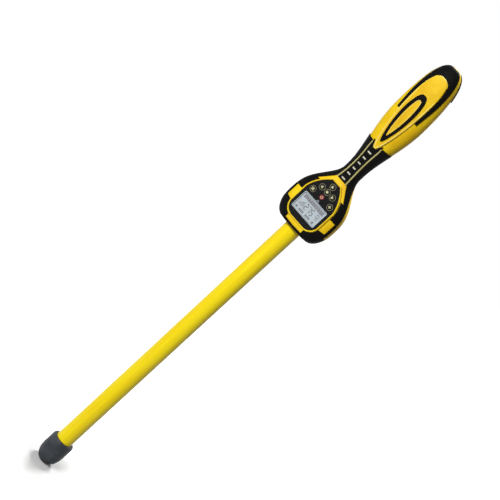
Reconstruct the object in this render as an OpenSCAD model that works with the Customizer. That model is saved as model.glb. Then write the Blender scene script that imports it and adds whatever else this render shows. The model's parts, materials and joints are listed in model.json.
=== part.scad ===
/* [Wand tube] */
// Outside diameter of the tube
tube_od = 28.6; // [27:0.1:29.4]
// Wall of the tube
tube_wall = 2; // [1.5:0.1:2.5]
// Bare length of tube between the boot and the head
tube_show = 483; // [360:1:700]
// Length of tube held inside the head
tube_hold = 44; // [40:1:45]

/* [Tip boot] */
// Outside diameter of the boot
boot_od = 39.6; // [36:0.1:44]
// Length of the boot
boot_len = 47; // [44:1:58]
// Diameter of the flat on the boot's end
boot_flat_d = 14; // [8:1:20]
// Height of the boot's domed end
boot_dome = 24; // [18:1:30]
// Radius of the boot's upper edge
boot_lip = 4; // [2:0.5:4.5]
// Rubber between the tube's end and the ground
boot_floor = 7; // [5:0.5:10]

/* [Housing] */
// Widest part of the head
head_w = 92; // [88:1:96]
// Width of the flat at the head's lower end
head_foot_w = 48; // [44:1:56]
// Height of the head's rounded lower corners
head_corner = 34; // [26:1:37]
// Height where the head starts to narrow
head_shoulder = 38; // [38:1:42]
// Depth of the head in front of the tube's line
head_front = 19; // [18.6:0.1:21]
// Depth of the head behind the tube's line
head_back = 23; // [22.5:0.1:25]
// Height at which the head has become the neck
neck_from = 118; // [114:1:121]
// Height at which the neck starts to widen
neck_to = 125; // [122:1:130]
// Width of the neck
neck_w = 29; // [28:0.5:33]
// Depth of the neck, front to back
neck_d = 29; // [28:0.5:33]
// Widest part of the grip
grip_w = 59; // [57:0.5:64]
// Depth of the grip, front to back
grip_d = 40; // [39:0.5:44]
// Height of the grip's widest part
grip_mid = 233; // [228:1:238]
// Angle at which the grip leans towards the face
grip_lean = 9; // [4:0.5:12]
// Wall of the two shells
shell_wall = 2.5; // [2:0.1:2.8]
// Height of the hand's place above the head's lower end
hand_height = 230; // [215:1:245]

/* [Face] */
// Width of the black face panel
panel_w = 57; // [55:0.5:57.5]
// Height of the panel's lower edge
panel_low = 13; // [12.5:0.1:14]
// Height of the panel's upper edge
panel_high = 91; // [90:0.5:93]
// Width of the panel's upper edge
panel_top_w = 16; // [14:1:20]
// Thickness of the panel
panel_t = 2; // [1.8:0.1:2.4]
// Width of the yellow bezel round the panel
bezel_rim = 2.4; // [1.8:0.1:2.8]
// Width of the display window
window_w = 45.5; // [42:0.5:46.5]
// Height of the display window
window_h = 28; // [24:0.5:28.5]
// Height of the middle of the display
window_mid = 37.5; // [37:0.5:38]
// Diameter of a key
key_d = 7.4; // [6.5:0.1:7.8]
// How far a key stands out of the panel
key_proud = 1.6; // [1:0.1:2.5]
// Travel of a key
key_travel = 0.8; // [0.5:0.1:0.9]

/* [Overmould] */
// Thickness of the rubber pads on the shells
pad_t = 1.4; // [0.9:0.1:1.8]
// Height of the lowest neck rung
rung_from = 104; // [103:0.5:105]
// Spacing of the neck rungs
rung_pitch = 11; // [9:0.5:11]
// Number of neck rungs
rung_count = 6; // [3:1:6]

/* [Battery bay] */
// Diameter of one battery cell
cell_d = 14.5; // [13.5:0.1:14.6]
// Length of one battery cell
cell_len = 50.5; // [46:0.5:51]
// Width of the battery door
door_w = 33; // [32:0.5:34]
// Height of the door's hinge pin above the neck
door_rise = 65; // [64:0.5:67]
// Height of the grip's end above the battery door
grip_over = 24; // [20:1:34]
// Diameter of the hinge pin
hinge_pin_d = 2; // [1.6:0.1:2.4]
// Travel of the door's latch
latch_travel = 2.5; // [1.5:0.1:3]

/* [Hidden] */
$fn = 64;

// Clearances
cut = 1;
fit = 0.1;
running_fit = 0.05;
part_gap = 0.3;
skin_gap = 0.35;
parting_gap = 0.1;

// Colours of the pieces
yellow = [0.96, 0.78, 0.08];
black = [0.07, 0.07, 0.08];
charcoal = [0.2, 0.21, 0.23];
grey = [0.55, 0.56, 0.58];
pale = [0.78, 0.83, 0.85];
green = [0.1, 0.4, 0.22];
copper = [0.72, 0.42, 0.2];
steel = [0.7, 0.71, 0.73];
red = [0.66, 0.25, 0.27];

// Heights along the wand, measured from the hand's place
head_z = -hand_height;
boot_top_z = head_z - tube_show;
tip_z = boot_top_z - boot_len;
tube_low_z = tip_z + boot_floor;
tube_len = boot_len - boot_floor + tube_show + tube_hold;
tube_r = tube_od / 2;
tube_in_r = tube_r - tube_wall;

// Heights of the battery bay: the cells set the door's length, and the grip ends above the door
tray_wall = 1;
contact_t = 0.8;
tray_set_in = 3.5;
tray_len = 2 * cell_len + 2 * contact_t + 2 * tray_wall + 6 * fit;
door_over = 3.3;
door_from = neck_to + door_rise;
tray_from = door_from + tray_set_in;
door_to = tray_from + tray_len + door_over;
grip_end = door_to + grip_over;

// Shape shares of the housing
head_square_share = 3;
grip_square_share = 2.3;
head_fall_share = 1.38;
grip_rise_share = 0.9;
grip_end_share = 2.6;
foot_depth_share = 0.88;
last_ring_share = 0.999;

// The line of the housing bends from the head to the grip along one arc
bend_from = 100;
bend_to = 150;
bend_r = (bend_to - bend_from) * 180 / (PI * grip_lean);
foot_round = 8;

function ease(a, b, t) = a + (b - a) * (1 - cos(180 * min(max(t, 0), 1))) / 2;
function quarter(t) = sqrt(max(0, 1 - pow(1 - min(t, 1), 2)));
function head_fall(s) =
    pow(min(max((s - head_shoulder) / (neck_from - head_shoulder), 0), 1), head_fall_share);
function grip_rise(s) = pow(min(max((s - neck_to) / (grip_mid - neck_to), 0), 1), grip_rise_share);
function grip_close(s) = s < grip_mid ? 1
    : pow(1 - pow((s - grip_mid) / (grip_end - grip_mid), grip_end_share), 1 / grip_end_share);

// Eases a size from the head through the neck to the grip at height s
function along(s, head, neck, grip) = s < neck_to
    ? ease(head, neck, head_fall(s))
    : ease(neck, grip, grip_rise(s)) * grip_close(s);
function half_w(s) = s < head_corner
    ? head_foot_w / 2 + (head_w - head_foot_w) / 2 * quarter(s / head_corner)
    : along(s, head_w / 2, neck_w / 2, grip_w / 2);
function foot_depth(s) = foot_depth_share + (1 - foot_depth_share) * quarter(s / foot_round);
function front_d(s) = foot_depth(s) * along(s, head_front, neck_d / 2, grip_d / 2);
function back_d(s) = foot_depth(s) * along(s, head_back, neck_d / 2, grip_d / 2);
function square_at(s) = along(s, head_square_share, grip_square_share, grip_square_share) / grip_close(s);

// Lean of the housing's line at height s, and the point of that line
function lean_at(s) = grip_lean * min(max((s - bend_from) / (bend_to - bend_from), 0), 1);
function past_bend(s) = max(s - bend_to, 0);
function line_y(s) = -bend_r * (1 - cos(lean_at(s))) - past_bend(s) * sin(grip_lean);
function line_z(s) = head_z + (s < bend_from ? s : bend_from + bend_r * sin(lean_at(s)))
    + past_bend(s) * cos(grip_lean);
function on_line(s, x, y) = [x, line_y(s) + y * cos(lean_at(s)), line_z(s) + y * sin(lean_at(s))];

// A point of the housing's skin at height s and angle u, lifted off the skin
function power(v, e) = sign(v) * pow(abs(v), e);
function skin(s, u, lift) =
    let (e = 2 / square_at(s))
    let (d = u > 180 ? front_d(s) : back_d(s))
    on_line(s, (half_w(s) + lift) * power(cos(u), e), (d + lift) * power(sin(u), e));

// The front angle at which the skin has width x at height s
function front_u(s, x) = 360 - acos(max(-1, min(1, power(x / half_w(s), square_at(s) / 2))));
// Depth of the back skin, measured from the housing's line
function back_y(s, x) = back_d(s) * pow(1 - pow(abs(x) / half_w(s), square_at(s)), 1 / square_at(s));

function span(a, b, n) = [for (i = [0 : n]) a + (b - a) * i / n];

// Heights of the housing's rings: close together where the shape turns quickly
foot_rings = 6;
body_rings = 24;
end_rings = 10;
ring_heights = concat(
    [for (i = [0 : foot_rings - 1]) head_corner * (1 - cos(90 * i / foot_rings))],
    [for (i = [0 : body_rings - 1]) head_corner + (grip_mid - head_corner) * i / body_rings],
    [for (i = [0 : end_rings]) grip_mid + (grip_end - grip_mid) * last_ring_share * sin(90 * i / end_rings)]);
half_steps = 16;

function quad(a, b, c, d) = [[a, b, c], [a, c, d]];
function flip(faces) = [for (f = faces) [f[2], f[1], f[0]]];
// Triangles of a grid of rows by columns whose first point has the given index
function grid_faces(first, rows, cols) = [for (i = [0 : rows - 2], j = [0 : cols - 2])
    let (p = first + i * cols + j) each quad(p, p + 1, p + cols + 1, p + cols)];

// A closed sheet between an upper and a lower grid of points with the same rows and columns
module sheet_between(upper, lower) {
    rows = len(upper);
    cols = len(upper[0]);
    n = rows * cols;
    points = concat([for (r = upper) each r], [for (r = lower) each r]);
    sides = concat(
        [for (j = [0 : cols - 2]) each quad(j, j + n, j + 1 + n, j + 1)],
        [for (j = [0 : cols - 2]) let (k = n - cols + j) each quad(k + 1, k + 1 + n, k + n, k)],
        [for (i = [0 : rows - 2]) let (k = i * cols) each quad(k + cols, k + cols + n, k + n, k)],
        [for (i = [0 : rows - 2]) let (k = i * cols + cols - 1) each quad(k, k + n, k + cols + n, k + cols)]);
    polyhedron(points, concat(grid_faces(0, rows, cols), flip(grid_faces(n, rows, cols)), sides));
}

// A pad on the housing's skin: each entry of spots is a height and an angle
module skin_pad(spots, low, high) {
    sheet_between([for (r = spots) [for (p = r) skin(p[0], p[1], low)]],
        [for (r = spots) [for (p = r) skin(p[0], p[1], high)]]);
}

// A pad that closes on itself, from rows that run round a ring
module skin_loop(spots, low, high) {
    rows = len(spots);
    cols = len(spots[0]);
    n = rows * cols;
    points = concat([for (r = spots) for (p = r) skin(p[0], p[1], low)],
        [for (r = spots) for (p = r) skin(p[0], p[1], high)]);
    faces = [for (i = [0 : rows - 1], j = [0 : cols - 2])
        let (p = i * cols + j, q = ((i + 1) % rows) * cols + j)
        each concat(quad(p, p + 1, q + 1, q), quad(q + n, q + 1 + n, p + 1 + n, p + n))];
    walls = [for (i = [0 : rows - 1])
        let (p = i * cols, q = ((i + 1) % rows) * cols, e = cols - 1)
        each concat(quad(p, q, q + n, p + n), quad(p + e + n, q + e + n, q + e, p + e))];
    polyhedron(points, concat(faces, walls));
}

// One half of the housing: its outer skin, its inner skin and the flat rim between them
module half_shell(u_from) {
    rows = len(ring_heights);
    top = ring_heights[rows - 1];
    squeeze = (top - 2 * shell_wall) / top;
    cols = half_steps + 1;
    n = rows * cols;
    angles = span(u_from, u_from + 180, half_steps);
    outer = [for (s = ring_heights) for (u = angles) skin(s, u, 0)];
    inner = [for (s = ring_heights) for (u = angles) skin(shell_wall + s * squeeze, u, -shell_wall)];
    last = n - cols;
    lids = [for (j = [1 : cols - 2]) each [[0, j, j + 1], [n, n + j + 1, n + j],
        [last, last + j + 1, last + j], [n + last, n + last + j, n + last + j + 1]]];
    left_rim = [for (i = [0 : rows - 2]) let (p = i * cols) each quad(p, p + cols, n + p + cols, n + p)];
    right_rim = [for (i = [0 : rows - 2]) let (p = i * cols + cols - 1)
        each quad(n + p, n + p + cols, p + cols, p)];
    e = cols - 1;
    ends = concat(quad(e, 0, n, n + e), quad(last, last + e, n + last + e, n + last));
    polyhedron(concat(outer, inner), concat(flip(grid_faces(0, rows, cols)), grid_faces(n, rows, cols),
        lids, flip(left_rim), flip(right_rim), flip(ends)));
}

// Turns and places children in the housing's own line at height s
module at_line(s) {
    translate(on_line(s, 0, 0)) rotate([lean_at(s), 0, 0]) children();
}

// A round bar along Y between two depths, at a place on the housing's line
module bar_y(x, y_from, y_to, r) {
    translate([x, y_to, 0]) rotate([90, 0, 0]) cylinder(h = y_to - y_from, r = r);
}

// A flat outline that faces forwards, from the depth of its back
module facing(y_back, depth) {
    translate([0, y_back, head_z]) rotate([90, 0, 0]) linear_extrude(depth) children();
}

// Bell outline of the face
panel_corner = 16;
panel_shoulder = 57;
panel_bow_share = 0.87;
panel_bow_high = 76;
corner_steps = 8;
bow_steps = 10;
function bow(a, c, e, t) = (1 - t) * (1 - t) * a + 2 * t * (1 - t) * c + t * t * e;
function bow_turn(a, c, e, t) = (1 - t) * (c - a) + t * (e - c);
function bell_side(grow) =
    let (a = [panel_w / 2, panel_shoulder])
    let (c = [panel_w / 2 * panel_bow_share, panel_bow_high])
    let (e = [panel_top_w / 2, panel_high])
    concat(
        [for (i = [0 : corner_steps])
            let (g = -90 + 90 * i / corner_steps)
            [panel_w / 2 - panel_corner + (panel_corner + grow) * cos(g),
                panel_low + panel_corner + (panel_corner + grow) * sin(g)]],
        [for (t = span(0, 1, bow_steps))
            let (d = bow_turn(a, c, e, t))
            bow(a, c, e, t) + grow * [d[1], -d[0]] / norm(d)],
        [[panel_top_w / 2 + min(grow, 0), panel_high + grow]]);
function mirrored(p) = [for (i = [len(p) - 1 : -1 : 0]) [-p[i][0], p[i][1]]];
module bell(grow) {
    right = bell_side(grow);
    polygon(concat(right, mirrored(right)));
}

// Depths of the face's layers, measured forwards from the tube's line
panel_lift = 0.6;
bezel_lift = 1.4;
panel_front = head_front + panel_lift;
panel_back = panel_front - panel_t;
bezel_front = head_front + bezel_lift;
bezel_back = tube_r + part_gap;
bezel_ledge = 0.8;
ledge_t = 1;
lens_t = 1.5;
lens_lap = 1.3;
glass_t = 1.2;
glass_front = panel_back - fit;
glass_back = glass_front - glass_t;
frame_wall = 1.2;
glass_w = window_w + lens_lap;
glass_h = window_h + lens_lap;
light_t = 1;
board_t = 1.6;
board_front = 12.6;
board_low = 47;
board_edge = 2.2;

// Places of the keys on the face
low_row = 62.5;
row_pitch = 10.8;
low_spread = 18.7;
mid_spread = 11.2;
low_drop = 1;
power_spot = [0, low_row];
top_spot = [0, low_row + 2 * row_pitch];
mid_left_spot = [-mid_spread, low_row + row_pitch];
centre_spot = [0, low_row + row_pitch];
mid_right_spot = [mid_spread, low_row + row_pitch];
low_left_spot = [-low_spread, low_row - low_drop];
low_right_spot = [low_spread, low_row - low_drop];
key_spots = [power_spot, top_spot, mid_left_spot, centre_spot, mid_right_spot, low_left_spot, low_right_spot];
key_rim = 0.7;
key_flange_t = 0.8;
key_stem_d = 3.2;
key_crown = 0.6;
dome_d = 5;
dome_h = 0.6;

// Case screws: two pairs in the head and one in the neck
low_screw = [36, 30];
high_screw = [24.8, 81];
neck_screw = [0, 168];
screw_spots = [[-low_screw[0], low_screw[1]], low_screw,
    [-high_screw[0], high_screw[1]], high_screw, neck_screw];
boss_r = 3.4;
boss_set_in = 0.4;
screw_r = 1.5;
screw_head_r = 2.8;
screw_head_t = 2;
screw_sink = 5;
screw_bite = 8;
function front_y(s, x) = -front_d(s) * pow(1 - pow(abs(x) / half_w(s), square_at(s)), 1 / square_at(s));
function seat_y(p) = back_y(p[1], p[0]) - screw_sink;

// Seal and plugs of the tube
seal_t = 2;
seal_len = 4;
plug_len = 14;
top_plug_len = 31;
top_plug_low = tube_hold - top_plug_len - fit;
tube_screw_low = 24;
tube_screw_pitch = 10;
tube_screw_in = 6;
cradle_w = 18;
cradle_margin = 5;
tube_screw_lip = 2.2;
tube_screw_seat = tube_r + tube_screw_lip;

module wand_tube() {
    color(yellow) difference() {
        translate([0, 0, tube_low_z]) cylinder(h = tube_len, r = tube_r);
        translate([0, 0, tube_low_z - cut]) cylinder(h = tube_len + 2 * cut, r = tube_in_r);
        for (i = [0, 1]) translate([0, 0, head_z + tube_screw_low + i * tube_screw_pitch])
            bar_y(0, 0, tube_od, screw_r + fit);
    }
}

boot_steps = 12;
module tip_boot() {
    r = boot_od / 2;
    flat = boot_flat_d / 2;
    dome = [for (i = [0 : boot_steps]) let (g = 90 * i / boot_steps)
        [flat + (r - flat) * sin(g), boot_dome * (1 - cos(g))]];
    lip = [for (i = [0 : boot_steps / 2]) let (g = 180 * i / boot_steps)
        [r - boot_lip + boot_lip * cos(g), boot_len - boot_lip + boot_lip * sin(g)]];
    bore = tube_r + running_fit;
    color(black) translate([0, 0, tip_z]) rotate_extrude()
        polygon(concat([[0, 0]], dome, lip, [[bore, boot_len], [bore, boot_floor], [0, boot_floor]]));
}

module tip_plug() {
    color(charcoal) translate([0, 0, tube_low_z]) cylinder(h = plug_len, r = tube_in_r - running_fit);
}

// Sensor carrier and what it holds
carrier_t = 2;
carrier_w = 13;
carrier_y = -10;
carrier_low_z = tube_low_z + plug_len + fit;
carrier_len = head_z + top_plug_low - fit - carrier_low_z;
core_r = 3;
core_len = 72;
bobbin_r = 7.9;
bobbin_neck_r = 4;
bobbin_len = 60;
bobbin_flange = 2.5;
winding_r = 7.2;
sensor_set_in = 16;
lower_sensor_z = carrier_low_z + sensor_set_in + core_len / 2;
upper_sensor_z = carrier_low_z + carrier_len - sensor_set_in - core_len / 2;
guide_t = 6;
guide_shares = [0.3, 0.43, 0.57, 0.7];
lead_r = 1.3;
lead_x = 9.6;
lead_y = 4.2;

module sensor_carrier() {
    color(green) translate([-carrier_w / 2, carrier_y, carrier_low_z])
        cube([carrier_w, carrier_t, carrier_len]);
}

module carrier_guides() {
    color(charcoal) for (share = guide_shares)
        translate([0, 0, carrier_low_z + carrier_len * share]) difference() {
            cylinder(h = guide_t, r = tube_in_r - running_fit);
            translate([-carrier_w / 2 - fit, carrier_y - fit, -cut])
                cube([carrier_w + 2 * fit, carrier_t + 2 * fit, guide_t + 2 * cut]);
            translate([lead_x, lead_y, -cut]) cylinder(h = guide_t + 2 * cut, r = lead_r + fit);
        }
}

module sensor_core(z) {
    color(steel) translate([0, 0, z - core_len / 2]) cylinder(h = core_len, r = core_r);
}

module sensor_bobbin(z) {
    color(grey) translate([0, 0, z - bobbin_len / 2]) difference() {
        union() {
            cylinder(h = bobbin_len, r = bobbin_neck_r);
            cylinder(h = bobbin_flange, r = bobbin_r);
            translate([0, 0, bobbin_len - bobbin_flange]) cylinder(h = bobbin_flange, r = bobbin_r);
        }
        translate([0, 0, -cut]) cylinder(h = bobbin_len + 2 * cut, r = core_r + running_fit);
    }
}

module sensor_winding(z) {
    length = bobbin_len - 2 * bobbin_flange - 2 * fit;
    color(copper) translate([0, 0, z - length / 2]) difference() {
        cylinder(h = length, r = winding_r);
        translate([0, 0, -cut]) cylinder(h = length + 2 * cut, r = bobbin_neck_r + running_fit);
    }
}

module lower_sensor_core() { sensor_core(lower_sensor_z); }
module lower_sensor_bobbin() { sensor_bobbin(lower_sensor_z); }
module lower_sensor_winding() { sensor_winding(lower_sensor_z); }
module upper_sensor_core() { sensor_core(upper_sensor_z); }
module upper_sensor_bobbin() { sensor_bobbin(upper_sensor_z); }
module upper_sensor_winding() { sensor_winding(upper_sensor_z); }

// A round lead that runs in one upright plane, through points of depth and height
lead_sides = 8;
function turn_at(p, i) = let (a = p[max(i - 1, 0)], b = p[min(i + 1, len(p) - 1)]) (b - a) / norm(b - a);
module lead(x, p, r) {
    rings = [for (i = [0 : len(p) - 1]) let (t = turn_at(p, i)) [for (k = [0 : lead_sides - 1])
        let (g = 360 * k / lead_sides)
        [x + r * cos(g), p[i][0] + r * sin(g) * t[1], p[i][1] - r * sin(g) * t[0]]]];
    n = len(p);
    m = lead_sides;
    walls = [for (i = [0 : n - 2], k = [0 : m - 1]) let (q = (k + 1) % m)
        each quad(i * m + k, (i + 1) * m + k, (i + 1) * m + q, i * m + q)];
    lids = [for (k = [1 : m - 2]) each [[0, k, k + 1], [(n - 1) * m, (n - 1) * m + k + 1, (n - 1) * m + k]]];
    polyhedron([for (ring = rings) each ring], concat(walls, lids));
}
function arc_points(mid, r, from, to, n) = [for (g = span(from, to, n)) mid + r * [cos(g), sin(g)]];
lead_turn = 7;
lead_steps = 6;

module sensor_lead() {
    low = lower_sensor_z + bobbin_len / 2 + fit;
    bend_z = head_z + tube_hold + lead_turn;
    color(black) lead(lead_x, concat([[lead_y, low]],
        arc_points([lead_y - lead_turn, bend_z], lead_turn, 0, 90, lead_steps),
        [[-board_front + board_t + fit, bend_z + lead_turn]]), lead_r);
}

module tube_top_plug() {
    color(charcoal) translate([0, 0, head_z + top_plug_low]) difference() {
        cylinder(h = top_plug_len, r = tube_in_r - running_fit);
        translate([lead_x, lead_y, -cut]) cylinder(h = top_plug_len + 2 * cut, r = lead_r + fit);
        for (i = [0, 1]) translate([0, 0, tube_screw_low - top_plug_low + i * tube_screw_pitch])
            bar_y(0, tube_screw_in, tube_r, screw_r + running_fit);
    }
}

module tube_screws() {
    color(steel) for (i = [0, 1]) translate([0, 0, head_z + tube_screw_low + i * tube_screw_pitch]) union() {
        bar_y(0, tube_screw_in + fit, tube_screw_seat + fit, screw_r);
        bar_y(0, tube_screw_seat, tube_screw_seat + screw_head_t, screw_head_r);
    }
}

module tube_seal() {
    color(black) translate([0, 0, head_z + (shell_wall - seal_len) / 2]) difference() {
        cylinder(h = seal_len, r = tube_r + seal_t - running_fit);
        translate([0, 0, -cut]) cylinder(h = seal_len + 2 * cut, r = tube_r + running_fit);
    }
}

module tube_hole() {
    translate([0, 0, head_z - cut]) cylinder(h = shell_wall + 2 * cut, r = tube_r + seal_t);
}

module front_shell() {
    color(yellow) difference() {
        union() {
            translate([0, -parting_gap / 2, 0]) half_shell(180);
            for (p = screw_spots) at_line(p[1])
                bar_y(p[0], front_y(p[1], abs(p[0]) + boss_r) + boss_set_in, -fit, boss_r);
        }
        facing(-board_front, head_front) bell(bezel_rim + fit);
        tube_hole();
        for (p = screw_spots) at_line(p[1]) bar_y(p[0], -screw_bite - cut, cut, screw_r + running_fit);
    }
}

// Sounder on the back wall of the head
sounder_r = 11;
sounder_t = 7;
sounder_high = 68;
sounder_back = 16.5;
sounder_wall = 1.6;
gasket_t = 1;
slot_count = 5;
slot_pitch = 3.2;
slot_w = 1.5;
slot_len = 12;

// Battery bay: cells two wide and two long, behind a door hinged on a pin
cell_y = 1;
cell_gap = 0.4;
tray_w = 2 * cell_d + 3 * cell_gap + 2 * tray_wall;
hinge_r = 2.6;
hinge_at_x = 12;
hinge_half = 8.5;
hinge_back_gap = 4.7;
hinge_y = back_y(door_from, hinge_at_x) - hinge_r;
hinge_web = 6;
hinge_ear_w = door_w / 2 + shell_wall - hinge_half - part_gap;
hinge_bore_r = hinge_pin_d / 2 + running_fit;
latch_w = 9;
latch_len = 5;
latch_drop = 13;
latch_from = door_to - latch_drop;
latch_tongue_t = 1.2;
latch_reach = 2;
latch_proud = 1.4;
latch_nub = 7;
latch_y = back_d(door_to + latch_reach + part_gap) - shell_wall - part_gap;

module rear_shell() {
    opening_w = door_w + 2 * part_gap;
    opening_from = door_from - hinge_back_gap;
    color(yellow) difference() {
        union() {
            difference() {
                translate([0, parting_gap / 2, 0]) half_shell(0);
                at_line(opening_from) translate([-opening_w / 2, cell_d / 2, 0])
                    cube([opening_w, grip_d, door_to + part_gap - opening_from]);
            }
            for (p = screw_spots) at_line(p[1])
                bar_y(p[0], fit, back_y(p[1], abs(p[0]) + boss_r) - boss_set_in, boss_r);
            translate([-cradle_w / 2, tube_r + fit, head_z + tube_screw_low - cradle_margin])
                cube([cradle_w, head_back - shell_wall / 2 - tube_r - fit,
                    tube_screw_pitch + 2 * cradle_margin]);
            at_line(sounder_high) difference() {
                bar_y(0, sounder_back - sounder_t / 2, back_d(sounder_high) - shell_wall,
                    sounder_r + sounder_wall + fit);
                bar_y(0, 0, head_back, sounder_r + fit);
            }
            for (side = [-1, 1]) at_line(door_from) {
                ear_x = side * (hinge_half + part_gap + hinge_ear_w / 2);
                translate([ear_x, hinge_y, 0]) rotate([0, 90, 0])
                    cylinder(h = hinge_ear_w, r = hinge_r, center = true);
                translate([ear_x - hinge_ear_w / 2, hinge_y - hinge_r, -hinge_web])
                    cube([hinge_ear_w, hinge_r, hinge_web]);
            }
        }
        tube_hole();
        for (p = screw_spots) at_line(p[1]) {
            bar_y(p[0], 0, grip_d, screw_r + fit);
            bar_y(p[0], seat_y(p), grip_d, screw_head_r + fit);
        }
        for (i = [0, 1]) translate([0, 0, head_z + tube_screw_low + i * tube_screw_pitch]) {
            bar_y(0, tube_r, grip_d, screw_r + fit);
            bar_y(0, tube_screw_seat, grip_d, screw_head_r + fit);
        }
        for (i = [0 : slot_count - 1]) at_line(sounder_high + (i - (slot_count - 1) / 2) * slot_pitch)
            translate([-slot_len / 2, sounder_back, -slot_w / 2]) cube([slot_len, grip_d, slot_w]);
        at_line(door_from) translate([-door_w, hinge_y, 0]) rotate([0, 90, 0])
            cylinder(h = 2 * door_w, r = hinge_bore_r);
    }
}

module case_screws() {
    color(steel) for (p = screw_spots) at_line(p[1]) union() {
        bar_y(p[0], -screw_bite, seat_y(p) + fit, screw_r);
        bar_y(p[0], seat_y(p) + fit, seat_y(p) + fit + screw_head_t, screw_head_r);
    }
}

module face_bezel() {
    color(yellow) difference() {
        facing(-bezel_back, bezel_front - bezel_back) bell(bezel_rim);
        facing(-panel_back, head_front) bell(fit);
        facing(0, head_front) bell(-bezel_ledge);
        facing(0, panel_back - ledge_t) bell(fit);
    }
}

module face_panel() {
    color(black) difference() {
        union() {
            facing(-panel_back, panel_t) bell(0);
            for (p = board_spots) translate([0, 0, head_z + p[1]])
                bar_y(p[0], -panel_back - fit, -board_front, board_boss_r);
        }
        facing(0, panel_front + cut) translate([-window_w / 2, window_mid - window_h / 2])
            square([window_w, window_h]);
        facing(-panel_front + lens_t, head_front)
            translate([-window_w / 2 - lens_lap, window_mid - window_h / 2 - lens_lap])
            square([window_w + 2 * lens_lap, window_h + 2 * lens_lap]);
        for (p = key_spots) translate([0, 0, head_z + p[1]])
            bar_y(p[0], -panel_front - cut, -panel_back + cut, key_d / 2 + part_gap);
        for (p = board_spots) translate([0, 0, head_z + p[1]])
            bar_y(p[0], -panel_back - board_screw_bite, 0, board_screw_r + running_fit);
    }
}

module display_plate(w, h, front, t) {
    facing(-front + t, t) translate([-w / 2, window_mid - h / 2]) square([w, h]);
}

module display_lens() {
    color(pale) display_plate(window_w + 2 * lens_lap - 2 * fit, window_h + 2 * lens_lap - 2 * fit,
        panel_front, lens_t - fit);
}

module display_glass() {
    color(pale) display_plate(glass_w, glass_h, glass_front, glass_t);
}

module display_frame() {
    color(charcoal) difference() {
        display_plate(glass_w + 2 * frame_wall, glass_h + 2 * frame_wall, glass_front, glass_t);
        display_plate(glass_w + 2 * fit, glass_h + 2 * fit, glass_front + cut, glass_t + 2 * cut);
    }
}

module backlight() {
    low = window_mid - glass_h / 2;
    color("white") facing(-glass_back + fit + light_t, light_t) translate([-glass_w / 2, low])
        square([glass_w, board_low - fit - low]);
}

connector_low = 48.3;
connector_h = 2.6;
connector_w = 40;
module display_connector() {
    color(charcoal) facing(-board_front - fit, glass_back - board_front - 2 * fit)
        translate([-connector_w / 2, connector_low]) square([connector_w, connector_h]);
}

// Screws that hold the board to bosses on the panel's back
board_screw_r = 1;
board_screw_head_r = 1.9;
board_screw_bite = 1.2;
board_screw_head_t = 1.4;
board_boss_r = 1.9;
low_board_screw = [22.4, 55.6];
high_board_screw = [9.5, 83.5];
board_spots = [[-low_board_screw[0], low_board_screw[1]], low_board_screw,
    [-high_board_screw[0], high_board_screw[1]], high_board_screw];

module main_board() {
    color(green) difference() {
        facing(-board_front + board_t + fit, board_t) intersection() {
            bell(-board_edge);
            translate([-panel_w, board_low]) square([2 * panel_w, panel_high]);
        }
        for (p = board_spots) translate([0, 0, head_z + p[1]])
            bar_y(p[0], -head_front, 0, board_screw_r + fit);
    }
}

module board_screws() {
    back = -board_front + board_t + 2 * fit;
    color(steel) for (p = board_spots) translate([0, 0, head_z + p[1]]) union() {
        bar_y(p[0], -panel_back - board_screw_bite + fit, back + fit, board_screw_r);
        bar_y(p[0], back, back + board_screw_head_t, board_screw_head_r);
    }
}

module key_switches() {
    color(steel) for (p = key_spots) translate([0, 0, head_z + p[1]])
        bar_y(p[0], -board_front - dome_h, -board_front, dome_d / 2);
}

mat_t = 1;
mat_front = panel_back - 2 * fit - key_flange_t - key_travel;
mat_low = 56.5;
module key_mat() {
    color(charcoal) difference() {
        facing(-mat_front + mat_t, mat_t) intersection() {
            bell(-board_edge);
            translate([-panel_w, mat_low]) square([2 * panel_w, panel_high]);
        }
        for (p = key_spots) translate([0, 0, head_z + p[1]])
            bar_y(p[0], -head_front, 0, key_stem_d / 2 + part_gap);
        for (p = board_spots) translate([0, 0, head_z + p[1]])
            bar_y(p[0], -head_front, 0, board_boss_r + part_gap);
    }
}

// One key: a crowned cap, the flange that keeps it in, and the stem that reaches its switch
module key(p, tint) {
    r = key_d / 2;
    stem_end = board_front + dome_h + key_travel + fit;
    flange_front = panel_back - fit;
    color(tint) translate([p[0], 0, head_z + p[1]]) rotate([90, 0, 0]) union() {
        translate([0, 0, stem_end]) cylinder(h = flange_front - stem_end, r = key_stem_d / 2);
        translate([0, 0, flange_front - key_flange_t]) cylinder(h = key_flange_t, r = r + key_rim);
        translate([0, 0, flange_front - key_flange_t / 2])
            cylinder(h = panel_front + key_proud - key_crown - flange_front + key_flange_t / 2, r = r);
        translate([0, 0, panel_front + key_proud - key_crown])
            cylinder(h = key_crown, r1 = r, r2 = r - key_crown);
    }
}

module power_key() { key(power_spot, red); }
module top_key() { key(top_spot, charcoal); }
module mid_left_key() { key(mid_left_spot, charcoal); }
module centre_key() { key(centre_spot, charcoal); }
module mid_right_key() { key(mid_right_spot, charcoal); }
module low_left_key() { key(low_left_spot, charcoal); }
module low_right_key() { key(low_right_spot, charcoal); }

module sounder() {
    front = sounder_back - gasket_t - sounder_t;
    color(black) at_line(sounder_high) bar_y(0, front, front + sounder_t, sounder_r);
}

module sounder_gasket() {
    color(charcoal) at_line(sounder_high) difference() {
        bar_y(0, sounder_back - gasket_t + fit, sounder_back, sounder_r);
        bar_y(0, 0, head_back, sounder_r - sounder_wall);
    }
}

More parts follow.
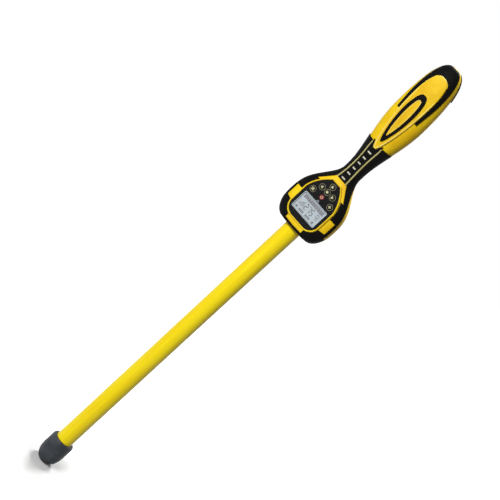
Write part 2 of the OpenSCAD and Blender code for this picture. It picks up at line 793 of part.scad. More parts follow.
// Bumpers, pads and inlays on the housing's skin
side_angle = 4;
bumper_angle = 20;
yoke_low = 78;
patch_high = 50;
patch_low = 29;
patch_in = 5;
patch_x = head_w / 2 - patch_in;
patch_slope = 2;
foot_patch_half = 16.5;
foot_line = 4.4;
foot_slope = 0.6;
bumper_foot = 0.8;
foot_rows = 2;
lower_rows = 14;
slope_rows = 4;
band_rows = 6;
upper_rows = 12;
bumper_across = 12;
pad_across = 8;
function bell_x(s) = let (p = bell_side(bezel_rim + part_gap)) lookup(s, [for (q = p) [q[1], q[0]]]);
// Inner edge of a bumper: a line under the foot, the ring, then a band outside the yellow patch
function ring_edge(s) = max(foot_patch_half, bell_x(s));
function patch_edge(s) = let (start = patch_low - patch_slope)
    ring_edge(start) + (patch_x - ring_edge(start)) * min(1, (s - start) / patch_slope);
function bumper_x(s) = s <= foot_line ? part_gap
    : s > patch_low - patch_slope && s < patch_high ? patch_edge(s) : ring_edge(s);
module left_bumper(heights) {
    skin_pad([for (s = heights)
        [for (u = span(180 + bumper_angle, front_u(s, -bumper_x(s)), bumper_across)) [s, u]]],
        skin_gap, pad_t);
}
module lower_left_bumper() {
    color(black) left_bumper(concat(span(bumper_foot, foot_line, foot_rows),
        span(foot_line + foot_slope, patch_low - patch_slope, lower_rows),
        [for (i = [1 : slope_rows]) patch_low - patch_slope + patch_slope * i / slope_rows],
        [for (i = [1 : band_rows]) patch_low + (patch_high - part_gap - patch_low) * i / band_rows]));
}
module upper_left_bumper() { color(black) left_bumper(span(patch_high, yoke_low, upper_rows)); }
module lower_right_bumper() { color(black) mirror([1, 0, 0]) lower_left_bumper(); }
module upper_right_bumper() { color(black) mirror([1, 0, 0]) upper_left_bumper(); }

// Ladder strip down the front of the neck
strip_low = 100;
strip_high = 166;
strip_w = 15;
strip_waist = 11;
strip_rows = 22;
function strip_half(s) = (strip_waist + (strip_w - strip_waist)
    * pow((2 * s - strip_low - strip_high) / (strip_high - strip_low), 2)) / 2;
module neck_strip() {
    color(black) skin_pad([for (s = span(strip_low, strip_high, strip_rows))
        [for (u = span(front_u(s, -strip_half(s)), front_u(s, strip_half(s)), pad_across)) [s, u]]],
        skin_gap, pad_t);
}

rung_t = 2.4;
rung_share = 0.62;
rung_lift = 0.8;
rung_rows = 2;
rung_across = 4;
function rung_half(s) = strip_half(s) * rung_share;
module neck_rungs() {
    color(yellow) for (i = [0 : rung_count - 1]) let (mid = rung_from + i * rung_pitch)
        skin_pad([for (s = span(mid - rung_t / 2, mid + rung_t / 2, rung_rows))
            [for (u = span(front_u(s, -rung_half(s)), front_u(s, rung_half(s)), rung_across)) [s, u]]],
            pad_t + fit, pad_t + rung_lift);
}

// Black pads beside the neck strip, with a yellow line left between them and the strip
neck_pad_low = yoke_low + 2 * part_gap;
neck_pad_high = 176;
neck_pad_line = 2.6;
neck_pad_rows = 32;
neck_wrap_from = 84;
neck_wrap_to = 112;
arm_slope_share = 0.78;
// The yoke's arms spread downwards from the strip's foot, and the pads lie outside them
function pad_x(s) = neck_pad_line + (s < strip_low
    ? max(bell_x(min(s, panel_high + bezel_rim)), strip_half(strip_low) + (strip_low - s) * arm_slope_share)
    : strip_half(min(s, strip_high)));
function pad_angle(s) =
    ease(bumper_angle, side_angle, (s - neck_wrap_from) / (neck_wrap_to - neck_wrap_from));
module neck_pad() {
    skin_pad([for (s = span(neck_pad_low, neck_pad_high, neck_pad_rows))
        [for (u = span(180 + pad_angle(s), front_u(s, -pad_x(s)), pad_across)) [s, u]]], skin_gap, pad_t);
}
module left_neck_pad() { color(black) neck_pad(); }
module right_neck_pad() { color(black) mirror([1, 0, 0]) neck_pad(); }

// Raised petal on the grip, with a teardrop ring round its middle
petal_low = 170;
petal_top_gap = 20;
petal_high = grip_end - petal_top_gap;
petal_w = 32;
petal_tip_w = 4;
petal_lift = 2;
petal_rows = 28;
petal_across = 8;
petal_mid_share = 0.68;
petal_top_share = 2.4;
petal_tail_share = 0.7;
function petal_half(s) =
    let (t = (s - petal_low) / (petal_high - petal_low))
    let (past = (t - petal_mid_share) / (1 - petal_mid_share))
    petal_tip_w / 2 + (petal_w - petal_tip_w) / 2 * (past < 0
        ? pow(sin(90 * t / petal_mid_share), petal_tail_share)
        : pow(max(0, 1 - pow(past, petal_top_share)), 1 / petal_top_share));
module petal_pad(low, high) {
    skin_pad([for (s = span(petal_low, petal_high, petal_rows))
        [for (u = span(front_u(s, -petal_half(s)), front_u(s, petal_half(s)), petal_across)) [s, u]]],
        low, high);
}
module grip_petal() { color(yellow) petal_pad(skin_gap, petal_lift); }

// Outer and inner leaf of the ring: lowest, widest and highest point, and full width
ring_outer = [182, 240, 272, 20.5];
ring_inner = [194, 236, 263, 11];
ring_lift = 0.9;
ring_rows = 48;
ring_top_share = 0.72;
ring_tail_share = 1;
ring_point_share = 0.35;
function leaf_spot(g, leaf) =
    let (tail = g > 180, c = power(cos(g), tail ? ring_tail_share : ring_top_share))
    let (x = leaf[3] / 2 * c * (tail ? 1 - ring_point_share * pow(sin(g), 2) : 1))
    [leaf[1] + (tail ? leaf[1] - leaf[0] : leaf[2] - leaf[1]) * sin(g), x];
function ring_spot(g, t) =
    let (p = leaf_spot(g, ring_inner) * (1 - t) + leaf_spot(g, ring_outer) * t)
    [p[0], front_u(p[0], p[1])];
module grip_ring() {
    color(black) skin_loop([for (i = [0 : ring_rows - 1]) let (g = 360 * i / ring_rows)
        [for (t = span(0, 1, 2)) ring_spot(g, t)]],
        petal_lift + fit, petal_lift + ring_lift);
}

// Black horseshoe that wraps the grip's end and runs down both sides of the petal
shoe_low = 234;
shoe_top_share = 0.985;
shoe_turn_share = 0.25;
shoe_leg_rows = 16;
shoe_top_rows = 28;
shoe_line = 1.2;
shoe_leg_w = 6.4;
shoe_leg_tip_w = 3.8;
shoe_edge_angle = 30;
shoe_side_share = 0.36;
shoe_across = 9;
function shoe_inner(s) = petal_half(min(s, petal_high)) + shoe_line;
shoe_end = grip_mid + (grip_end - grip_mid) * shoe_top_share;
shoe_turn = petal_high - petal_w * shoe_turn_share;
function shoe_outer(s) = shoe_inner(s)
    + ease(shoe_leg_tip_w, shoe_leg_w, (s - shoe_low) / (shoe_turn - shoe_low));
function shoe_row(a, b) = [for (t = span(0, 1, shoe_across)) a + (b - a) * t];
// Outer edge of the cap, from the left leg up the side, over the end and down again
function shoe_rim(t) =
    let (way = min(t, 1 - t) / shoe_side_share)
    let (leg_u = front_u(shoe_turn, -shoe_outer(shoe_turn)), edge_u = 180 + shoe_edge_angle)
    let (over_u = edge_u + (270 - edge_u) * (min(t, 1 - t) - shoe_side_share) / (1 / 2 - shoe_side_share))
    let (u = way < 1 ? ease(leg_u, edge_u, way) : over_u)
    [shoe_turn + (shoe_end - shoe_turn) * min(way, 1), t < 1 / 2 ? u : 540 - u];
module grip_horseshoe() {
    leg = span(shoe_low, shoe_turn, shoe_leg_rows);
    over = span(0, 180, shoe_top_rows);
    turn_half = shoe_inner(shoe_turn);
    turn_high = petal_high + shoe_line - shoe_turn;
    left = [for (s = leg) shoe_row([s, front_u(s, -shoe_outer(s))], [s, front_u(s, -shoe_inner(s))])];
    top = [for (i = [1 : shoe_top_rows - 1])
        let (g = over[i])
        let (s = shoe_turn + turn_high * sin(g))
        shoe_row(shoe_rim(i / shoe_top_rows), [s, front_u(s, -turn_half * cos(g))])];
    right = [for (i = [shoe_leg_rows : -1 : 0]) let (s = leg[i])
        shoe_row([s, front_u(s, shoe_outer(s))], [s, front_u(s, shoe_inner(s))])];
    color(black) skin_pad(concat(left, top, right), skin_gap, pad_t);
}

// Black pad round the back of the grip's end
rear_pad_gap = 4;
rear_pad_drop = 18;
rear_pad_rows = 12;
rear_pad_across = 32;
rear_pad_side_angle = 24;
rear_pad_mid_angle = 42;
// Lower edge of the pad: it steps up over the door and hangs lower at both sides
function rear_pad_low(u) = door_to + rear_pad_gap - rear_pad_drop + rear_pad_drop
    * ease(0, 1, (min(u, 180 - u) - rear_pad_side_angle) / (rear_pad_mid_angle - rear_pad_side_angle));
module rear_grip_pad() {
    color(black) skin_pad([for (t = span(0, 1, rear_pad_rows))
        [for (u = span(side_angle, 180 - side_angle, rear_pad_across))
            [rear_pad_low(u) + (shoe_end - rear_pad_low(u)) * t, u]]], skin_gap, pad_t);
}

module battery_tray() {
    floor_y = cell_y - cell_d / 2 - fit - tray_wall;
    ear_h = 4;
    ear_gap = 0.8;
    color(charcoal) at_line(tray_from) difference() {
        union() {
            translate([-tray_w / 2, floor_y, 0]) cube([tray_w, cell_y - floor_y, tray_len]);
            for (z = [ear_h, tray_len - 2 * ear_h])
                let (w = min(half_w(tray_from + z), half_w(tray_from + z + ear_h)))
                let (reach = w - shell_wall - ear_gap)
                translate([-reach, -ear_h, z]) cube([2 * reach, ear_h - fit, ear_h]);
        }
        translate([-tray_w / 2 + tray_wall, floor_y + tray_wall, tray_wall])
            cube([tray_w - 2 * tray_wall, grip_d, tray_len - 2 * tray_wall]);
    }
}

module battery_cells() {
    color(grey) for (side = [-1, 1], i = [0, 1])
        at_line(tray_from + tray_wall + contact_t + 2 * fit + i * (cell_len + 2 * fit))
            translate([side * (cell_d + cell_gap) / 2, cell_y, 0]) cylinder(h = cell_len, r = cell_d / 2);
}

module battery_contacts() {
    size = cell_d - 2 * tray_wall;
    low = cell_y - cell_d / 2;
    color(steel) for (side = [-1, 1], z = [tray_wall + fit, tray_len - tray_wall - contact_t - fit])
        at_line(tray_from) translate([side * (cell_d + cell_gap) / 2 - size / 2, low, z])
            cube([size, size, contact_t]);
}

battery_lead_x = 5.5;
battery_lead_r = 1.4;
battery_lead_y = -6;
battery_lead_rows = 10;
module battery_lead() {
    heights = span(tray_from - fit, bend_from, battery_lead_rows);
    bend_z = head_z + panel_high;
    end_y = -board_front + board_t + battery_lead_r + 2 * fit;
    color(black) lead(battery_lead_x, concat(
        [for (s = heights) let (p = on_line(s, 0, battery_lead_y)) [p[1], p[2]]],
        [[battery_lead_y - fit, bend_z], [end_y, bend_z - lead_turn], [end_y, bend_z - 2 * lead_turn]]),
        battery_lead_r);
}

door_rows = 24;
door_across = 10;
module door_skin(from, to, half, rows) {
    grid = [for (s = span(from, to, rows)) [for (x = span(-half, half, door_across)) [s, x]]];
    sheet_between([for (r = grid) [for (p = r) on_line(p[0], p[1], back_y(p[0], p[1]))]],
        [for (r = grid) [for (p = r) on_line(p[0], p[1], back_y(p[0], p[1]) - shell_wall)]]);
}
module battery_door() {
    color(yellow) difference() {
        union() {
            door_skin(door_from + hinge_r + part_gap, door_to, door_w / 2, door_rows);
            door_skin(door_from + (hinge_bore_r + hinge_r) / 2, door_from + 2 * hinge_r, hinge_half, 2);
            at_line(door_from) translate([-hinge_half, hinge_y, 0]) rotate([0, 90, 0]) difference() {
                cylinder(h = 2 * hinge_half, r = hinge_r);
                translate([0, 0, -cut]) cylinder(h = 2 * (hinge_half + cut), r = hinge_bore_r);
            }
        }
        at_line(latch_from - latch_travel - part_gap) translate([-latch_w / 2 - part_gap, cell_d / 2, 0])
            cube([latch_w + 2 * part_gap, grip_d, latch_len + latch_travel + 2 * part_gap]);
    }
}

module door_pin() {
    length = door_w + 2 * shell_wall - 2 * fit;
    color(steel) at_line(door_from) translate([-length / 2, hinge_y, 0]) rotate([0, 90, 0])
        cylinder(h = length, r = hinge_pin_d / 2);
}

module door_latch() {
    top = back_y(latch_from - latch_travel, 0) + latch_proud;
    color(black) at_line(latch_from) union() {
        translate([-latch_w / 2, latch_y - latch_tongue_t, 0])
            cube([latch_w, top - latch_y + latch_tongue_t - latch_proud / 2, latch_len]);
        translate([-latch_w / 2, latch_y - latch_tongue_t, 0])
            cube([latch_w, latch_tongue_t, door_to + latch_reach - latch_from]);
        translate([-latch_w / 2, back_y(latch_from - latch_travel, 0) + part_gap, 0])
            cube([latch_w, latch_proud, latch_nub]);
    }
}

wand_tube();
tip_boot();
tip_plug();
sensor_carrier();
carrier_guides();
lower_sensor_core();
lower_sensor_bobbin();
lower_sensor_winding();
upper_sensor_core();
upper_sensor_bobbin();
upper_sensor_winding();
sensor_lead();
tube_top_plug();
tube_screws();
tube_seal();
front_shell();
rear_shell();
case_screws();
face_bezel();
face_panel();
display_lens();
display_glass();
display_frame();
backlight();
display_connector();
main_board();
board_screws();
key_switches();
key_mat();
power_key();
top_key();
mid_left_key();
centre_key();
mid_right_key();
low_left_key();
low_right_key();
sounder();
sounder_gasket();
upper_left_bumper();
upper_right_bumper();
lower_left_bumper();
lower_right_bumper();
neck_strip();
neck_rungs();
left_neck_pad();
right_neck_pad();
grip_horseshoe();
grip_petal();
grip_ring();
rear_grip_pad();
battery_tray();
battery_cells();
battery_contacts();
battery_lead();
battery_door();
door_pin();
door_latch();
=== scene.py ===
# %% [markdown]
# # A wand-type cable locator
# The object is a long yellow tube with a rubber boot at its tip, a display
# head with keys, a waisted neck and an oval grip. The engineering model gives
# every piece its size and place. This lesson gives each visible piece its
# rounded form and its finish, and never moves or resizes anything.

# %% Load the frame
import json
import math

import bmesh
import bpy
import numpy as np
from mathutils import Matrix, Vector

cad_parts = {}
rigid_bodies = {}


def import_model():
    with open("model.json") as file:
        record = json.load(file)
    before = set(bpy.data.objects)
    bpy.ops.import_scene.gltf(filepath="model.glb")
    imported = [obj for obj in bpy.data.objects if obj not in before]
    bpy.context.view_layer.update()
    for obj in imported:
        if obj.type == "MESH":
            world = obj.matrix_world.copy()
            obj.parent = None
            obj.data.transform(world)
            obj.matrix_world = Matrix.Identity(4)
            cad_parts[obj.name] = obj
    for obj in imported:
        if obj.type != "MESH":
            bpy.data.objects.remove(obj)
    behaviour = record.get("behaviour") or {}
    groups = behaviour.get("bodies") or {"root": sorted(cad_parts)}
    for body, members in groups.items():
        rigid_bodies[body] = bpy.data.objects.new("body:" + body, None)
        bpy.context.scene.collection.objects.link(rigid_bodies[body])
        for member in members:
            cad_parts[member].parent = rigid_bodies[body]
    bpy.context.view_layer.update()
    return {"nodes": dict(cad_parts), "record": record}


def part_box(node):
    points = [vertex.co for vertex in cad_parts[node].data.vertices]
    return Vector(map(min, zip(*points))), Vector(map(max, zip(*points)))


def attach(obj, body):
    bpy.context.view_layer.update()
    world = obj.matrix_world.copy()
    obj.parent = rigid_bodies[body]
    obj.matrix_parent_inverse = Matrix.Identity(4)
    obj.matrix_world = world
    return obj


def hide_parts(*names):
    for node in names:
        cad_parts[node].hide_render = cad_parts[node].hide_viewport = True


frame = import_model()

print("nodes in the frame:", len(frame["nodes"]))

# %% [markdown]
# ## The camera
# The photo looks at the face from a little to the right and from about the
# grip's height, and the whole picture is rolled so that the wand runs from
# lower left to upper right. A camera can be turned by hand until it fits, but
# here it is built from four facts: where it stands, where it looks, how far
# the wand leans in the picture and how long the lens is.

# %% Place the camera
CAMERA_DISTANCE = 1.70
CAMERA_YAW = math.radians(13.7)
CAMERA_HEIGHT = -0.010
AIM_ASIDE, AIM_HEIGHT = -0.0198, -0.3002
WAND_ANGLE = math.radians(42.83)
FOCAL_PIXELS, FRAME_PIXELS, SENSOR_MM = 1167.0, 500, 36.0
CLIP_NEAR, CLIP_FAR = 0.05, 50


def place_camera():
    stand = Vector((CAMERA_DISTANCE * math.sin(CAMERA_YAW),
                    -CAMERA_DISTANCE * math.cos(CAMERA_YAW), CAMERA_HEIGHT))
    aim = Vector((AIM_ASIDE * math.cos(CAMERA_YAW), AIM_ASIDE * math.sin(CAMERA_YAW),
                  AIM_HEIGHT))
    ahead = (aim - stand).normalized()
    aside = ahead.cross(Vector((0, 0, 1))).normalized()
    above = aside.cross(ahead)
    right = math.cos(WAND_ANGLE) * above + math.sin(WAND_ANGLE) * aside
    up = math.sin(WAND_ANGLE) * above - math.cos(WAND_ANGLE) * aside
    data = bpy.data.cameras.new("photo_camera")
    data.sensor_width = SENSOR_MM
    data.lens = FOCAL_PIXELS * SENSOR_MM / FRAME_PIXELS
    data.clip_start, data.clip_end = CLIP_NEAR, CLIP_FAR
    camera = bpy.data.objects.new("photo_camera", data)
    bpy.context.scene.collection.objects.link(camera)
    turn = Matrix((right, up, -ahead)).transposed().to_4x4()
    camera.matrix_world = Matrix.Translation(stand) @ turn
    bpy.context.scene.camera = camera
    return camera


camera = place_camera()
print("lens, mm:", round(camera.data.lens, 1))

# %% [markdown]
# ## Tools for finishes
# Every finish is a node material on object coordinates, so it sticks to the
# piece from any side. Real moulded plastic and rubber are never one flat
# colour: they have a fine grain from the mould, patches of slightly different
# gloss, and small scuffs. A few helpers build those layers the same way for
# every finish.

# %% Helpers for node materials


def linear(red, green, blue):
    """A colour picked on a screen, turned into the linear values that shaders use."""
    parts = [v / 255 for v in (red, green, blue)]
    return [v / 12.92 if v <= 0.04045 else ((v + 0.055) / 1.055) ** 2.4 for v in parts] + [1.0]


class Finish:
    """One node material: a principled shader with helpers for grain, tint and gloss."""

    def __init__(self, name):
        self.material = bpy.data.materials.new(name)
        self.material.use_nodes = True
        self.tree = self.material.node_tree
        self.shader = self.tree.nodes["Principled BSDF"]
        self.place = self.add("ShaderNodeTexCoord").outputs["Object"]

    def add(self, kind, **values):
        node = self.tree.nodes.new(kind)
        for key, value in values.items():
            setattr(node, key, value)
        return node

    def link(self, source, target):
        self.tree.links.new(source, target)

    def set(self, **values):
        for key, value in values.items():
            self.shader.inputs[key.replace("_", " ")].default_value = value

    def stretched(self, scale):
        """Object coordinates, stretched so that a pattern runs along one axis."""
        mapping = self.add("ShaderNodeMapping")
        mapping.inputs["Scale"].default_value = scale
        self.link(self.place, mapping.inputs["Vector"])
        return mapping.outputs["Vector"]

    def pattern(self, kind, output, along=None, **values):
        """A texture on object coordinates, or on a stretched copy of them."""
        node = self.add(kind)
        for key, value in values.items():
            node.inputs[key].default_value = value
        self.link(along or self.place, node.inputs["Vector"])
        return node.outputs[output]

    def noise(self, scale, detail=4.0, along=None):
        return self.pattern("ShaderNodeTexNoise", "Fac", along, Scale=scale, Detail=detail, Roughness=0.55)

    def cells(self, scale):
        return self.pattern("ShaderNodeTexVoronoi", "Distance", Scale=scale)

    def ramp(self, value, stops):
        node = self.add("ShaderNodeValToRGB")
        while len(node.color_ramp.elements) < len(stops):
            node.color_ramp.elements.new(0.5)
        for element, (at, colour) in zip(node.color_ramp.elements, stops):
            element.position = at
            element.color = colour
        self.link(value, node.inputs["Fac"])
        return node.outputs["Color"]

    def tones(self, value, low, high, ends=(0.3, 0.7)):
        """A pattern between two colours, each given as it looks on a screen."""
        return self.ramp(value, [(at, linear(*tone)) for at, tone in zip(ends, (low, high))])

    def spread(self, value, low, high, source=(0.3, 0.7)):
        """Maps a pattern's usual range onto another range."""
        node = self.add("ShaderNodeMapRange")
        for key, number in zip(("From Min", "From Max", "To Min", "To Max"), (*source, low, high)):
            node.inputs[key].default_value = number
        self.link(value, node.inputs["Value"])
        return node.outputs["Result"]

    def mix(self, amount, first, second):
        node = self.add("ShaderNodeMix", data_type="RGBA")
        for at, source in ((0, amount), (6, first), (7, second)):
            socket = node.inputs[at]
            if isinstance(source, (list, tuple, float)):
                socket.default_value = source
            else:
                self.link(source, socket)
        return node.outputs[2]

    def bump(self, *layers):
        """Stacks height patterns: each layer is a pattern, its strength and its depth in metres."""
        last = None
        for pattern, strength, depth in layers:
            node = self.add("ShaderNodeBump")
            node.inputs["Strength"].default_value = strength
            node.inputs["Distance"].default_value = depth
            self.link(pattern, node.inputs["Height"])
            if last:
                self.link(last, node.inputs["Normal"])
            last = node.outputs["Normal"]
        self.link(last, self.shader.inputs["Normal"])
        return self

    def colour(self, source):
        self.link(source, self.shader.inputs["Base Color"])

    def gloss(self, source):
        self.link(source, self.shader.inputs["Roughness"])

    def edges(self, low, high):
        """A mask of sharp convex edges, where handling wears a surface first."""
        point = self.add("ShaderNodeNewGeometry").outputs["Pointiness"]
        return self.spread(point, 0.0, 1.0, (low, high))


print("finish helpers ready")

# %% [markdown]
# ## The finishes
# Two yellows and three blacks make up the outside. The tube is bright lemon
# with a smooth satin gloss. The housing is golden, with the fine spark-eroded
# texture of a moulded case. The grips and bumpers are soft black rubber, the
# boot is charcoal rubber, and the face is satin black. Colours are written as
# they look on the object, because the lights are set to a plain level.

# %% Yellow finishes


def tube_lemon():
    f = Finish("tube_lemon")
    streak = f.noise(3.0, 3.0, f.stretched((60, 60, 4)))
    patch = f.noise(9.0, 2.0)
    tint = f.ramp(streak, [(0.25, linear(248, 214, 10)), (0.55, linear(252, 226, 14)),
                           (0.8, linear(255, 234, 30))])
    scuff = f.spread(f.noise(420, 2.0, f.stretched((1, 1, 0.12))), 0.0, 0.10, (0.66, 0.78))
    f.colour(f.mix(scuff, tint, linear(214, 176, 30)))
    f.gloss(f.spread(patch, 0.24, 0.36))
    f.set(Coat_Weight=0.04, Coat_Roughness=0.2, Specular_IOR_Level=0.16)
    return f.bump((streak, 0.05, 0.0006), (f.noise(900, 2.0), 0.05, 0.0002)).material


def case_gold(name="case_gold", low=(232, 186, 14), high=(250, 216, 26),
              rubbed=(255, 226, 96), soiled=(170, 124, 20)):
    f = Finish(name)
    broad = f.noise(28, 3.0)
    tint = f.tones(broad, low, high)
    tint = f.mix(f.edges(0.53, 0.62), tint, linear(*rubbed))
    grime = f.spread(f.noise(70, 5.0), 0.0, 0.22, (0.58, 0.75))
    f.colour(f.mix(grime, tint, linear(*soiled)))
    f.gloss(f.spread(f.noise(160, 3.0), 0.46, 0.6))
    f.set(Specular_IOR_Level=0.18)
    return f.bump((f.cells(2200), 0.16, 0.0002), (broad, 0.04, 0.001)).material


finishes = {
    "tube_paint": tube_lemon(), "shell_yellow": case_gold(),
    "petal_gold": case_gold("petal_gold", (226, 176, 18), (244, 204, 30)),
    # A paler copy of the petal's gold: a painted highlight for raised edges.
    "petal_painted_highlight": case_gold("petal_painted_highlight", (246, 216, 84), (254, 230, 122)),
    # A darker copy of the petal's gold: painted shade beside the petal.
    "petal_painted_shade": case_gold("petal_painted_shade", (176, 122, 16), (198, 144, 24)),
    "pale_line": case_gold("pale_line", (172, 164, 100), (202, 194, 132), (224, 218, 168), (120, 112, 62)),
    # The rungs' pale tone is a painted highlight, as on raised rubber ribs.
    "rung_painted_highlight": case_gold("rung_painted_highlight", (190, 188, 172), (220, 218, 200), (236, 234, 222), (140, 134, 110))}
print("yellow finishes:", sorted(finishes))

# %% Black finishes


def rubber(name, low, high, grain, rough, shine=0.14):
    f = Finish(name)
    tint = f.tones(f.noise(45, 5.0), low, high, (0.35, 0.75))
    rubbed = [min(255, int(v * 1.5 + 16)) for v in high]
    f.colour(f.mix(f.edges(0.54, 0.66), tint, linear(*rubbed)))
    f.gloss(f.spread(f.noise(210, 3.0), rough - 0.07, rough + 0.09))
    f.set(Specular_IOR_Level=shine)
    return f.bump((f.cells(grain), 0.3, 0.00025), (f.noise(grain * 1.7, 2.0), 0.2, 0.0001)).material


def face_black():
    f = Finish("face_black")
    f.colour(f.tones(f.noise(55), (8, 8, 10), (17, 17, 19), (0.3, 0.75)))
    f.gloss(f.spread(f.noise(330, 2.0), 0.2, 0.3))
    f.set(Specular_IOR_Level=0.1)
    return f.bump((f.noise(2600, 2.0), 0.12, 0.0001)).material


for slot, *look in (("grip_rubber", (8, 7, 7), (18, 17, 16), 1500, 0.56, 0.04),
                    ("boot_rubber", (50, 53, 57), (76, 80, 84), 900, 0.5),
                    ("key_black", (22, 22, 24), (34, 34, 37), 1900, 0.48),
                    ("key_red", (138, 52, 58), (164, 78, 82), 1900, 0.48),
                    ("lead_cover", (20, 20, 22), (32, 32, 35), 1200, 0.5)):
    finishes[slot] = rubber(slot, *look)
finishes["panel_black"] = face_black()
print("black finishes ready, total:", len(finishes))

# %% [markdown]
# ## Display and inner finishes
# A liquid crystal display is a pale grey-blue sheet with a very fine mesh of
# electrodes. A grid from two sine waves gives that mesh without any picture.
# The pieces inside the case show only when the battery door opens, and they
# get the same care: wrapped cells, plated steel, laminate and copper wire.

# %% Display, metal and inner finishes
CELL_REPEAT, CELL_BAND = 0.0256, (0.0172, 0.0178)


def display_pale():
    f = Finish("display_pale")
    waves = []
    for axis in "XZ":
        wave = f.add("ShaderNodeTexWave", bands_direction=axis)
        wave.inputs["Scale"].default_value = 420
        f.link(f.place, wave.inputs["Vector"])
        waves.append(wave.outputs["Color"])
    mesh_lines = f.mix(0.5, *waves)
    cloud = f.tones(f.noise(40, 2.0), (168, 182, 190), (184, 196, 203))
    tone = f.add("ShaderNodeMix", data_type="RGBA", blend_type="MULTIPLY")
    tone.inputs[0].default_value = 0.06
    f.link(cloud, tone.inputs[6])
    f.link(mesh_lines, tone.inputs[7])
    f.colour(tone.outputs[2])
    f.gloss(f.spread(f.noise(300), 0.28, 0.36))
    return f.material


def window_clear():
    f = Finish("window_clear")
    f.colour(f.tones(f.noise(60, 2.0), (226, 234, 238), (240, 245, 247)))
    f.gloss(f.spread(f.noise(240, 3.0), 0.04, 0.1))
    f.set(Alpha=0.10, IOR=1.49)
    return f.material


def display_ink(name, tone):
    f = Finish(name)
    lighter = [min(255, v + 22) for v in tone]
    f.colour(f.tones(f.noise(260, 3.0), tone, lighter, (0.3, 0.75)))
    f.gloss(f.spread(f.noise(500), 0.3, 0.42))
    return f.material


def plain_part(name, low, high, scale, rough, metal=0.0, brushed=None, grain=0.08):
    f = Finish(name)
    pattern = f.noise(scale, along=f.stretched(brushed) if brushed else None)
    f.colour(f.tones(pattern, low, high, (0.3, 0.72)))
    f.gloss(f.spread(pattern, rough - 0.06, rough + 0.08))
    f.set(Metallic=metal)
    return f.bump((pattern, grain, 0.0002)).material


def cell_wrap():
    """A printed sleeve: a grey-blue body with a pale band that comes back once per cell."""
    f = Finish("cell_wrap")
    scuff = f.noise(260)
    parts = f.add("ShaderNodeSeparateXYZ")
    f.link(f.place, parts.inputs[0])
    turn = f.add("ShaderNodeMath", operation="PINGPONG")
    f.link(parts.outputs["Z"], turn.inputs[0])
    turn.inputs[1].default_value = CELL_REPEAT
    body = f.tones(scuff, (52, 62, 78), (70, 82, 100), (0.3, 0.72))
    band = f.tones(scuff, (150, 154, 158), (178, 181, 184), (0.3, 0.72))
    f.colour(f.mix(f.spread(turn.outputs[0], 0.0, 1.0, CELL_BAND), body, band))
    f.gloss(f.spread(scuff, 0.28, 0.42))
    return f.bump((scuff, 0.06, 0.0002)).material


finishes.update(display_grey=display_pale(), lens_clear=window_clear(), cell_wrap=cell_wrap())
for slot, *look in (
        ("ink", "display_ink", (38, 42, 50)), ("strip_ink", "strip_ink", (104, 106, 114)),
        ("icon_pale", "icon_pale", (190, 186, 136)), ("icon_olive", "icon_olive", (104, 101, 62))):
    finishes[slot] = display_ink(*look)
for slot, *look in (
        ("steel", "plated_steel", (150, 151, 155), (206, 207, 210), 40, 0.3, 1.0, (1, 1, 14)),
        ("dark_plastic", "dark_plastic", (34, 35, 38), (50, 51, 55), 700, 0.5),
        ("board_green", "board_laminate", (14, 74, 40), (30, 104, 58), 500, 0.4),
        ("sensor_alloy", "sensor_alloy", (96, 96, 100), (140, 140, 145), 60, 0.4, 1.0, (1, 1, 20)),
        ("winding_copper", "copper_wire", (150, 76, 34), (204, 120, 64), 30, 0.32, 1.0, (0.2, 0.2, 90), 0.4)):
    finishes[slot] = plain_part(*look)

slot_of = {part["node"]: part["material_slot"] for part in frame["record"]["subparts"]}
for node, thing in frame["nodes"].items():
    for holder in thing.material_slots:
        holder.material = finishes[slot_of[node]]
print("finishes:", len(finishes), "given to", len(slot_of), "solids")

# %% [markdown]
# ## The housing's own geometry
# Head, neck and grip are one flowing body. Its cross-section is a rounded
# rectangle whose width and depth change with the height along the body, and
# whose middle line bends forward at the neck. The engineering model builds its
# solids from these rules, and the same rules are repeated here with many more
# points, so that the pieces below land exactly on the solids but look smooth.
# Heights and widths are in millimetres, and points come out in metres.

# %% Rules of the housing
MM = 0.001
HEAD_Z = -230.0
HEAD_W, HEAD_FOOT_W, HEAD_CORNER, HEAD_SHOULDER = 92.0, 48.0, 34.0, 38.0
HEAD_FRONT, HEAD_BACK, FOOT_ROUND, FOOT_SHARE = 19.0, 23.0, 8.0, 0.88
NECK_FROM, NECK_TO, NECK_W, NECK_D = 118.0, 125.0, 29.0, 29.0
GRIP_W, GRIP_D, GRIP_MID, GRIP_END = 59.0, 40.0, 233.0, 326.0
BEND_FROM, BEND_TO, LEAN = 100.0, 150.0, math.radians(9)
BEND_R = (BEND_TO - BEND_FROM) / LEAN
WALL = 2.5


def ease(a, b, t):
    return a + (b - a) * (1 - np.cos(np.pi * np.clip(t, 0, 1))) / 2


def quarter(t):
    return np.sqrt(np.maximum(0, 1 - (1 - np.minimum(t, 1)) ** 2))


def grip_close(s):
    t = np.clip((s - GRIP_MID) / (GRIP_END - GRIP_MID), 0, 1)
    return (1 - t ** 2.6) ** (1 / 2.6)


def along(s, head, neck, grip):
    fall = np.clip((s - HEAD_SHOULDER) / (NECK_FROM - HEAD_SHOULDER), 0, 1) ** 1.38
    rise = np.clip((s - NECK_TO) / (GRIP_MID - NECK_TO), 0, 1) ** 0.9
    return np.where(s < NECK_TO, ease(head, neck, fall), ease(neck, grip, rise) * grip_close(s))


def half_w(s):
    foot = HEAD_FOOT_W / 2 + (HEAD_W - HEAD_FOOT_W) / 2 * quarter(np.maximum(s, 0) / HEAD_CORNER)
    return np.where(s < HEAD_CORNER, foot, along(s, HEAD_W / 2, NECK_W / 2, GRIP_W / 2))


def depth(s, at_head):
    foot = FOOT_SHARE + (1 - FOOT_SHARE) * quarter(np.maximum(s, 0) / FOOT_ROUND)
    return foot * along(s, at_head, NECK_D / 2, GRIP_D / 2)


def square_at(s):
    return along(s, 3.0, 2.3, 2.3) / grip_close(s)


def power(v, e):
    return np.sign(v) * np.abs(v) ** e


